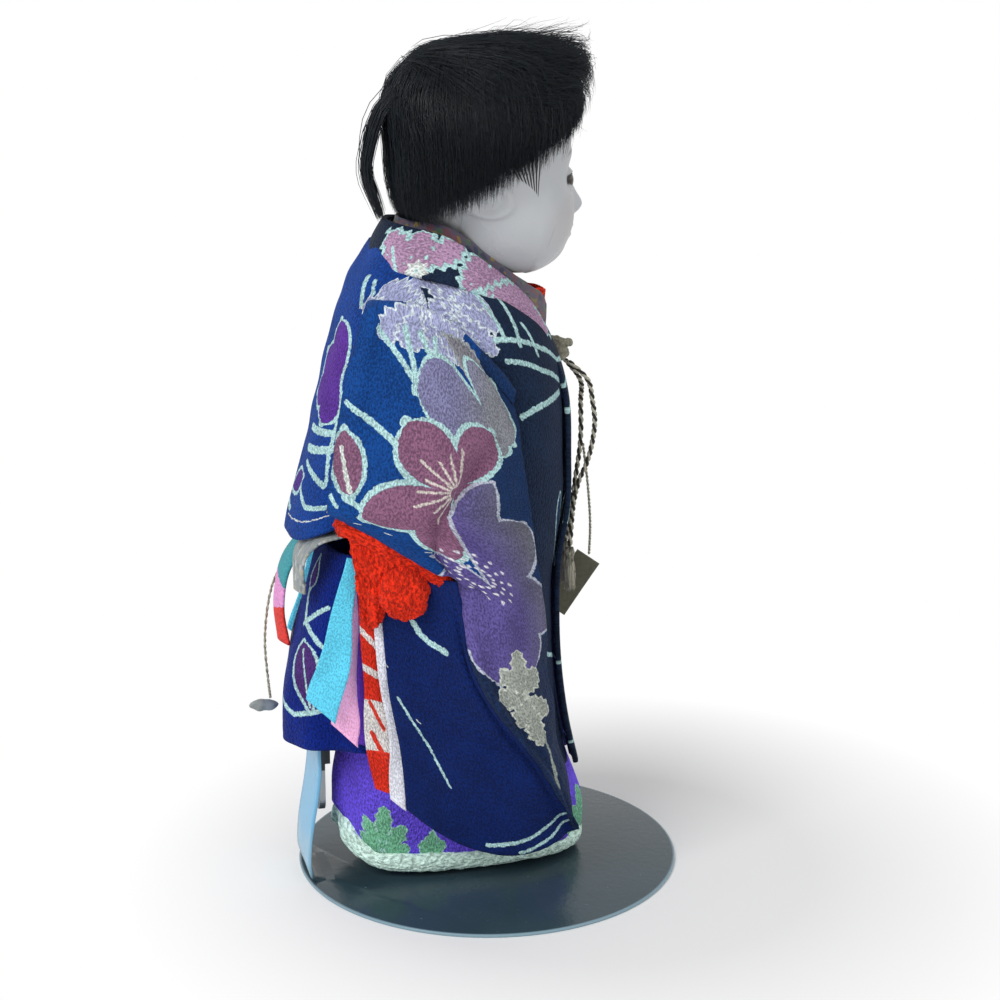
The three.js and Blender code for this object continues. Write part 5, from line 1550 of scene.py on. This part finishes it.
# %% Fronts and back
FRONT_HEM, FRONT_FROM, SIDE_SEAM = 31, 13, 100.6
TUCK_LOW, TUCK_ROLL, BACK_TOP = 106, 0.08, 188
BACK_FROM, BACK_TO = 99.8, 260.2
SKIRT_FROM, SKIRT_TO, SKIRT_HEM, SKIRT_TOP = 105.6, 254.4, 45.5, 103
CLOTH = 0.7


def front_top(degrees):
    return 145 + 36 * math.sin(math.radians(min(degrees, 99) * 0.92))


def front_surface(side):
    def surface(u, v):
        degrees = lerp(FRONT_FROM, SIDE_SEAM, u)
        z = lerp(FRONT_HEM, front_top(degrees), v)
        fold = -0.3 * (1 + math.sin(9 * u)) * (1 - v)
        return jacket(side * degrees, z, fold)
    return surface


def back_surface(u, v):
    degrees = lerp(BACK_FROM, BACK_TO, u)
    low = TUCK_LOW + 20 * (2 * u - 1) ** 2
    if v < TUCK_ROLL:
        roll = (TUCK_ROLL - v) / TUCK_ROLL
        lift = 1.2 * math.sin(2.4 * roll) - 0.9 * math.sin(math.pi * roll)
        return jacket(degrees, low + lift, -0.2 - 2.2 * roll)
    t = (v - TUCK_ROLL) / (1 - TUCK_ROLL)
    fold = 0.45 * math.sin(math.radians(degrees) * 7) * (1 - t) ** 2
    return jacket(degrees, lerp(low, BACK_TOP, t), fold)


def back_skirt_surface(u, v):
    fold = 1.1 * math.sin(4 * math.pi * u) * (1 - v) + 0.5 * math.sin(11 * math.pi * u + 1) * (1 - v) ** 2
    degrees, z = lerp(SKIRT_FROM, SKIRT_TO, u), lerp(SKIRT_HEM, SKIRT_TOP, v)
    return around(HAORI_SKIRT, degrees, z, fold, HAORI_CORNER)


blue_crepe = crepe_finish("blue_crepe", "#152742", grain=0.55, depth=0.8, drawn=FRONT_PRINT)
back_crepe = crepe_finish("back_blue_crepe", "#0f3f90", grain=0.55, depth=0.8, drawn=BACK_PRINT)
# The back's lower flap wears a darker copy of the jacket's blue: painted shade.
shaded_flap_crepe = crepe_finish("shaded_flap_blue_crepe", "#05227c", grain=0.55, depth=0.8, drawn=FLAP_PRINT)
for name, side in SIDES:
    front = lay_grid(f"haori_front_cloth_{name}", front_surface(side), across=60, along=110)
    open_armholes(front)
    crumple(front, depth=0.5, size=11, seed=3 + side)
    wear(thicken(front, CLOTH), blue_crepe, "blue_crepe", "doll", f"haori_front_{name}")
    call_cloth(front, "hung", "haori_collar")
haori_back = lay_grid("haori_back_cloth", back_surface, across=120, along=80)
open_armholes(haori_back)
crumple(haori_back, depth=0.7, size=10, seed=7)
wear(thicken(haori_back, CLOTH), back_crepe, "blue_crepe", "doll", "haori_back")
call_cloth(haori_back, "hung", "haori_collar")
back_skirt = lay_grid("haori_back_skirt_cloth", back_skirt_surface, across=120, along=50)
crumple(back_skirt, depth=0.8, size=12, seed=8)
wear(thicken(back_skirt, CLOTH), shaded_flap_crepe, "blue_crepe", "doll", "haori_back_skirt")
call_cloth(back_skirt, "hung", "obi")

# %% [markdown]
# ## The sleeves
# A long sleeve is a bag. Its outer face runs from the front edge to the fold at the rear, opens at the wrist, and
# goes on down to the bag's crease. A rear face closes the bag, and an inner face lies against the body. A puffed
# strip at the shoulder, like a sewn tuck, joins it to the jacket. In the flat the strip lies above the outer face,
# so it adds to the length and not to the width.

# %% Lines of a sleeve
FRONT_EDGE = smooth_line([(-26.6, -1, 146), (-26.9, -4, 126), (-27, -8, 102), (-27, -11.2, 70), (-27, -14.2, 45),
                          (-28.5, -19.8, 20)])
CREASE = smooth_line([(-40.5, 18.5, 101), (-41.5, 14, 75), (-40.5, 4, 56.5), (-38.5, -6.4, 42.5), (-34, -15, 27),
                      (-29.5, -19.8, 18)])
BAG_REAR = smooth_line([(-31.6, 38.5, 101), (-31.6, 36.5, 70), (-31.6, 33, 48), (-31.6, 31.5, 31)])
SLEEVE_ROWS = [(0, 1.5, 10), (0.07, 7.5, 8), (0.16, 9.6, 4), (0.3, 10.5, 0), (0.5, 7, 0), (0.75, 4, 0), (1, 1, 0)]
EDGE_ROLL = [(0, 2.6), (0.06, 1.7), (0.25, 1.4), (0.31, 0.5), (0.5, 0.3), (0.62, 2.2), (0.9, 1.8), (1, 0)]
FOLD_END, CREASE_START = 2 / 7, 0.5
GROOVE, PLEAT = 3.6, 1.0
STRIP_RISE, PUFF_OUT, PUFF_UP = 2.6, 2.4, 2.8
FORWARD = {"right": 0, "left": 9}


def ramp(value):
    return min(max(value, 0), 1)


def bump_at(value, place, width):
    return math.exp(-((value - place) / width) ** 2)


def fold_line(forward):
    return smooth_line([(-27, 42 - forward, 171), (-28.4, 48 - forward, 148), (-30, 52.5 - forward, 120)])


def wrist_line(forward):
    return smooth_line([(-30, 52.5 - forward, 120), (-36.5, 36 - forward / 3, 111), (-40.5, 18.5, 101)])


def outer_face(forward):
    fold, wrist = fold_line(forward), wrist_line(forward)

    def surface(u, v):
        if v < FOLD_END:
            edge = fold(v / FOLD_END)
        elif v < CREASE_START:
            edge = wrist((v - FOLD_END) / (CREASE_START - FOLD_END))
        else:
            edge = CREASE((v - CREASE_START) / (1 - CREASE_START))
        _, belly, crown = smooth_row(SLEEVE_ROWS, v)
        p = FRONT_EDGE(v).lerp(edge, u)
        bow = math.sin(math.pi * u)
        p.x -= belly * bow
        p.z += crown * bow
        dip = bump_at(u, lerp(0.24, 0.95, (v - 0.18) / 0.32), 0.055)
        groove = dip * ramp((v - 0.12) * 12) * ramp((0.54 - v) * 12)
        pleats = math.sin(19 * u) * math.sin(math.pi * u) * ramp((v - 0.3) * 4) * (1 - v)
        roll = smooth_row(EDGE_ROLL, v)[1] * bump_at(u, 0.93, 0.05)
        p.x += GROOVE * groove + PLEAT * pleats - roll
        return p
    return surface


def rear_face(u, v):
    p = CREASE(v).lerp(BAG_REAR(v), u)
    bow = math.sin(math.pi * u)
    p.x += (3 * (1 - v) ** 2 - 2.4 * v) * bow
    p.x += 1.4 * bump_at(u, 0.05, 0.04) * min(u / 0.03, 1) * min(6 * v, 1)
    p.z -= 10 * bow * v ** 3
    return p


def inner_face(forward):
    fold = fold_line(forward)

    def surface(u, v):
        p = Vector((-26.6, 6 + 2 * v, 158 - 52 * v)).lerp(fold(v), u)
        p.x += 0.8 * math.sin(math.pi * u)
        return p
    return surface


def shoulder_seam(forward):
    outer = outer_face(forward)

    def surface(u, v):
        edge = outer(u, 0)
        z = edge.z + STRIP_RISE
        _, half, front, back = smooth_row(HAORI, z)
        deep = (back - front) / 2
        off = min(max((front + back) / 2 - edge.y, -0.86 * deep), 0.86 * deep)
        x = half * (1 - abs(off / deep) ** (2 / HAORI_CORNER)) ** (HAORI_CORNER / 2)
        p = Vector((-x, (front + back) / 2 - off, z)).lerp(edge, v)
        puff = max(math.sin(math.pi * v), 0) ** 0.7
        p.x -= PUFF_OUT * puff
        p.z += PUFF_UP * puff
        return p
    return surface


def on_side(surface, side):
    def turned_over(u, v):
        p = surface(u, v)
        return Vector((-side * p.x, p.y, p.z))
    return turned_over


# %% Sew the sleeves
sleeve_crepe = crepe_finish("sleeve_crepe", "#0f4389", grain=0.55, depth=0.8, drawn=SLEEVE_PRINT_AND_SHADE)
# The bag's rear and inner faces wear a darker copy of the sleeve's blue: painted shade.
shaded_bag_crepe = crepe_finish("shaded_bag_crepe", "#07215e", grain=0.55, depth=0.8, drawn=BAG_PRINT)
for name, side in SIDES:
    forward = FORWARD[name]
    outer = lay_grid(f"haori_sleeve_cloth_{name}", on_side(outer_face(forward), side), across=84, along=168)
    rear = lay_grid("rear", on_side(rear_face, side), across=42, along=84)
    inner = lay_grid("inner", on_side(inner_face(forward), side), across=30, along=40)
    seam = lay_grid("seam", on_side(shoulder_seam(forward), side), across=84, along=16, shift=(0, -9))
    for part, finish in ((outer, sleeve_crepe), (rear, shaded_bag_crepe), (inner, shaded_bag_crepe), (seam, sleeve_crepe)):
        part.data.materials.append(finish)
    outer["cut_long"] += seam["cut_long"]
    seam["cut_wide"] = 0.0
    sleeve = weld(outer, rear, inner, seam)
    crumple(sleeve, depth=1.3, size=15, seed=2 + side)
    crumple(sleeve, depth=0.25, size=3.2, seed=6 + side)
    thicken(sleeve, CLOTH)
    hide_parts(f"haori_sleeve_{name}")
    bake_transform(sleeve)
    call_cloth(sleeve, "hung", f"haori_front_{name}", "haori_back")

# %% [markdown]
# Inside the wrist the layers of the robes show one past the other, from the white lining inward. Each is a strip
# between two edges. The red crepe of the under-robe is padded and fuzzy, and bulges out as a roll and a pouch.

# %% Layers at the wrist
LAYERS = {
    "aqua_sleeve": ("aqua_silk", 30.5, [(47.2, 107), (51.4, 92.4), (55.9, 78.1), (58.6, 66.6)],
                    [(43.4, 106), (45.5, 91.9), (47.5, 74.4), (50.6, 58.6)]),
    "pink_sleeve": ("pink_silk", 26.8, [(46.4, 104), (47, 90), (49.4, 73), (51, 57)],
                    [(41, 104), (42, 81), (42.6, 63), (43.6, 49.4)]),
    "kimono_sleeve": ("purple_crepe", 28.1, [(44.6, 104), (43.9, 82), (44.4, 64), (44.6, 50.6)],
                      [(39, 103), (40, 79), (39.6, 61), (41, 50)]),
    "striped_sleeve": ("striped_crepe", 29.2, [(44, 103), (43.5, 76.5), (42.6, 58.5), (40.3, 37)],
                       [(36, 102), (36, 70), (34.6, 51.8), (33.4, 34.2)]),
    "sleeve_lining": ("white_silk", 30.5, [(41, 101), (38.6, 70.6), (36.5, 52.4), (35, 33.9)],
                      [(35, 101), (33.4, 70), (31, 50), (30.6, 30)]),
}
layer_dyes = {
    "aqua_silk": crepe_finish("aqua_silk", "#62d2f2", grain=0.45, depth=0.3, roughness=0.6),
    "pink_silk": crepe_finish("pink_silk", "#ffbce8", grain=0.45, depth=0.3, roughness=0.6),
    "purple_crepe": crepe_finish("purple_lining", "#54309f", grain=0.5, depth=0.3),
    "striped_crepe": crepe_finish("striped_crepe", "#e2331f", grain=0.55, depth=0.8, drawn=STRIPE_PRINT),
    "white_silk": crepe_finish("white_silk", "#e2e4ee", grain=0.5, depth=0.35, roughness=0.6),
}
POUCH_X, POUCH_Y, POUCH_Z = 36, 32.4, 97.2
POUCH_WIDE, POUCH_DEEP, POUCH_HIGH = 4.2, 7.2, 7.8
APRON_END = [(31.8, 43.4, 88.4), (32.2, 41.6, 87.2), (32.6, 39.8, 87.2), (33, 38.2, 88)]
for name, side in SIDES:
    for node, (dye, x, rear_edge, front_edge) in LAYERS.items():
        back_shift = FORWARD[name] * (0.5 if node != "sleeve_lining" else 0)
        left = smooth_line([(-x, y - back_shift, z) for y, z in rear_edge])
        right = smooth_line([(-x, y - back_shift, z) for y, z in front_edge])

        def strip(u, v):
            p = left(v).lerp(right(v), u)
            p.x -= 0.5 * math.sin(3.2 * u + 5 * v) * v
            p.y += 0.9 * math.sin(9 * v + 0.06 * x * x) * v
            return p

        layer = lay_grid(f"{node}_cloth_{name}", on_side(strip, side), across=14, along=60)
        crumple(layer, depth=0.35, size=5, seed=5)
        wear(thicken(layer, 0.35), layer_dyes[dye], dye, f"{name}_arm", f"{node}_{name}")
        call_cloth(layer, "hung", f"red_sleeve_{name}")
    wrist = wrist_line(FORWARD[name])
    spots = [(t, wrist(t)) for t in (0.06, 0.25, 0.45, 0.65, 0.82, 0.98)]
    roll_line = smooth_line([(-side * (p.x + 1.5 + 1.6 * t), p.y, p.z - 1.6) for t, p in spots])

    def roll_section(v, angle):
        end = min(1, min(v, 1 - v) * 12) ** 0.5
        return 1.6 * end * math.cos(angle), (3.3 - 0.4 * v) * end * math.sin(angle)

    roll = lead_ring(f"red_roll_{name}", roll_line, roll_section, sides=32, steps=110)

    def pouch_surface(u, v):
        turn, tilt = 2 * math.pi * u, math.pi * v
        x = side * POUCH_X + POUCH_WIDE * math.sin(tilt) * math.cos(turn)
        y = POUCH_Y - FORWARD[name] / 4 + POUCH_DEEP * math.sin(tilt) * math.sin(turn)
        return Vector((x, y, POUCH_Z + POUCH_HIGH * math.cos(tilt)))

    pouch = lay_grid("pouch", pouch_surface, across=96, along=64)
    apron_end = smooth_line([(side * x, y - FORWARD[name] / 2, z) for x, y, z in APRON_END])

    def apron_surface(u, v):
        p = roll_line(0.1 + 0.42 * u).lerp(apron_end(u), v)
        p.x += side * (1.2 * math.sin(math.pi * v) + 0.5 * math.sin(11 * u + 2 * v) * v)
        return p

    apron = thicken(lay_grid("apron", apron_surface, across=60, along=50), 0.9)
    red = weld(roll, pouch, apron)
    crumple(red, depth=1.0, size=3.6, seed=4)
    crumple(red, depth=0.5, size=1.0, seed=5)
    smooth_all(red)
    wear(red, red_crepe, "red_crepe", f"{name}_arm", f"red_sleeve_{name}")
print("sleeves sewn")

# %% [markdown]
# ## Cords and small things
# The jacket is tied by a himo, two twisted silk cords from one knot, each with a tassel of loose threads. A plain
# card hangs on a thread at the front, and the end of the obi's cord hangs behind with a bit of silk. A twisted
# cord is two strands, a pale one and a dark one, each led along a helix around the cord's own line.

# %% Twisted cords
himo_silk = crepe_finish("himo_silk", "#8d8a7b", grain=0.3, depth=0.5, roughness=0.65)
dark_silk = crepe_finish("dark_silk", "#37352f", grain=0.3, depth=0.5, roughness=0.65)
pale_thread = crepe_finish("pale_thread", "#b9b6a6", grain=0.3, depth=0.4, roughness=0.7)


def twisted(radius, turns):
    def section(v, angle):
        end = min(1, min(v, 1 - v) * 30) ** 0.5
        r = radius * end * (0.86 + 0.22 * abs(math.cos(angle - 2 * math.pi * turns * v)))
        return r * math.cos(angle), r * math.sin(angle)
    return section


def strand_line(line, radius, turns, start):
    def spot(t):
        turn = 2 * math.pi * (turns * t + start)
        return line(t) + Vector((math.cos(turn), math.sin(turn), 0)) * radius * 0.5
    return spot


CORD_TURNS = 16


def hang_cord(name, points, radius, finishes, node):
    line = smooth_line(points)
    strands = []
    for start, finish in zip((0, 0.5), finishes):
        helix = strand_line(line, radius, CORD_TURNS, start)
        strand = lead_ring(name, helix, rounded(0.56 * radius, 0.01), sides=10, steps=240)
        strand.data.materials.append(finish)
        strands.append(strand)
    piece = smooth_all(weld(*strands))
    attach(piece, "doll")
    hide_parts(node)
    path = [line(k / 60) * MM for k in range(61)]
    length = sum((b - a).length for a, b in zip(path, path[1:]))
    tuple(path[0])
    print(f"{name}: {length * 1000:.0f} mm long")


# %% Knot and tassels
KNOT_Y, KNOT_Z, KNOT_CORE = -21.5, 155.6, 2.4


def loop_spot(t):
    x = 2.4 * math.sin(2 * t)
    y = KNOT_Y - 2.6 * math.cos(3 * t) * 0.9
    return x, y, KNOT_Z + 2.4 * math.sin(t) + 0.9 * math.sin(3 * t)


loops = smooth_line([loop_spot(2 * math.pi * k / 12) for k in range(13)])
himo_knot = lead_ring("himo_knot_loops", loops, twisted(1.15, 14), sides=14, steps=160)
core = start_from(bpy.ops.mesh.primitive_uv_sphere_add, "knot_core", segments=32, ring_count=20,
                  radius=KNOT_CORE * MM, location=(0, KNOT_Y * MM, KNOT_Z * MM))
himo_knot = smooth_all(weld(himo_knot, core))
wear(himo_knot, himo_silk, "olive_silk", "doll", "himo_knot")


TASSEL_LONG, TASSEL_RADIUS, TASSEL_THREADS, THREAD = 13.2, 1.75, 260, 0.16


def tassel(name, top, node, seed):
    dice = np.random.default_rng(seed)
    count = TASSEL_THREADS
    t = np.linspace(0, 1, 10)
    spread = np.interp(t, [0, 0.12, 0.2, 0.5, 1], [0.55, 0.8, 0.5, 0.8, 1.0])
    turn = dice.uniform(0, 2 * math.pi, count)
    wide = TASSEL_RADIUS * np.sqrt(dice.uniform(0.05, 1, count))
    long = TASSEL_LONG * dice.uniform(0.9, 1, count)
    x = top[0] + np.outer(wide * np.cos(turn), spread)
    y = top[1] + np.outer(wide * np.sin(turn), spread)
    z = top[2] - np.outer(long, t)
    wave = np.sin(6 * t + turn[:, None])[..., None] * dice.normal(0, 0.12, (count, 1, 3))
    paths = np.stack([x, y, z], axis=-1) + wave
    piece = strand_piece(name, paths, np.full(count, THREAD), np.array((top[0], top[1], top[2] + 400)))
    return wear(piece, pale_thread, "olive_silk", "doll", node)


tassel_right = tassel("tassel_right", (-1.2, -24.9, 95.6), "himo_tassel_right", 21)
tassel_left = tassel("tassel_left", (3.6, -24.9, 96.0), "himo_tassel_left", 22)
print("tassels of", TASSEL_THREADS, "threads")

# %% Card and bit of silk
card_paper, tree, shader = new_finish("card_paper")
fibres = add_node(tree, "ShaderNodeTexNoise", "Fac", Vector=object_mm(tree), Scale=0.9, Detail=4.0)
set_inputs(tree, shader, Base_Color=tint(tree, fibres, ink("#5f5e50"), ink("#858370")), Roughness=0.85)
CARD_MIDDLE, CARD_WIDE, CARD_LONG = Vector((13, -29.5, 80)), 8, 20
CARD_YAW, CARD_LEAN = math.radians(-25), math.radians(31.8)
SILK_SIZE, SILK_PLACE = (0.0014, 0.0044, 0.0018), (0.0095, 0.0656, 0.0504)
card_turn = Matrix.Rotation(CARD_YAW, 4, "Z") @ Matrix.Rotation(CARD_LEAN, 4, "X")


def card_surface(u, v):
    curl = 0.9 * math.sin(math.pi * v) * (1 + 0.4 * u)
    return CARD_MIDDLE + card_turn @ Vector((curl - 0.5, (u - 0.5) * CARD_WIDE, (v - 0.5) * CARD_LONG))


card = lay_grid("hanging_card", card_surface, across=16, along=32)
wear(thicken(card, 0.4, 40), card_paper, "card", "doll", "paper_tag")
silk_bit = start_from(bpy.ops.mesh.primitive_uv_sphere_add, "silk_bit", segments=32, ring_count=24, radius=1)
bpy.ops.transform.resize(value=SILK_SIZE)
bpy.ops.transform.translate(value=SILK_PLACE)
bpy.ops.object.transform_apply(location=True, rotation=True, scale=True)
crumple(silk_bit, depth=0.5, size=2, seed=3)
smooth_all(silk_bit)
wear(silk_bit, silver_brocade, "silver_brocade", "doll", "obi_cord_silk")
print("card is", CARD_WIDE, "x", CARD_LONG, "mm")

# %% Hang the cords
HIMO_RADIUS, THREAD_RADIUS = 0.75, 0.4
HIMO_RIGHT = [(-1.1, -23.8, 152.2), (-1.4, -29.8, 145.9), (-1.8, -31.1, 139.9), (-2, -31.8, 133.8),
              (-2, -31.2, 127.9), (-1.8, -29.8, 121.9), (-1.5, -27.4, 116), (-1.3, -26, 110),
              (-1.2, -25.4, 103.9), (-1.2, -24.9, 95.8)]
HIMO_LEFT = [(1.7, -23.4, 152.2), (2, -28.6, 145), (2.2, -28.7, 139.3), (2.3, -28.8, 127.2), (2.6, -27.4, 115.2),
             (3, -26, 103), (3.6, -24.9, 96.2)]
TAG_LINE = [(3.5, -29.9, 126), (6.2, -32.4, 112), (9.3, -34.2, 99), (10.7, -34.4, 89.1)]
OBI_CORD_LINE = [(15.9, 57.4, 93.6), (16.9, 61.4, 84), (13.4, 64.2, 70), (10, 64, 57), (9.6, 63.6, 52.4)]
HIMO_SILKS, THREAD_SILKS = (pale_thread, dark_silk), (pale_thread, himo_silk)
hang_cord("himo_right", HIMO_RIGHT, HIMO_RADIUS, HIMO_SILKS, "himo_cord_right")
hang_cord("himo_left", HIMO_LEFT, HIMO_RADIUS, HIMO_SILKS, "himo_cord_left")
hang_cord("tag_thread_line", TAG_LINE, THREAD_RADIUS, THREAD_SILKS, "tag_thread")
hang_cord("obi_cord_line", OBI_CORD_LINE, THREAD_RADIUS, THREAD_SILKS, "obi_cord_end")
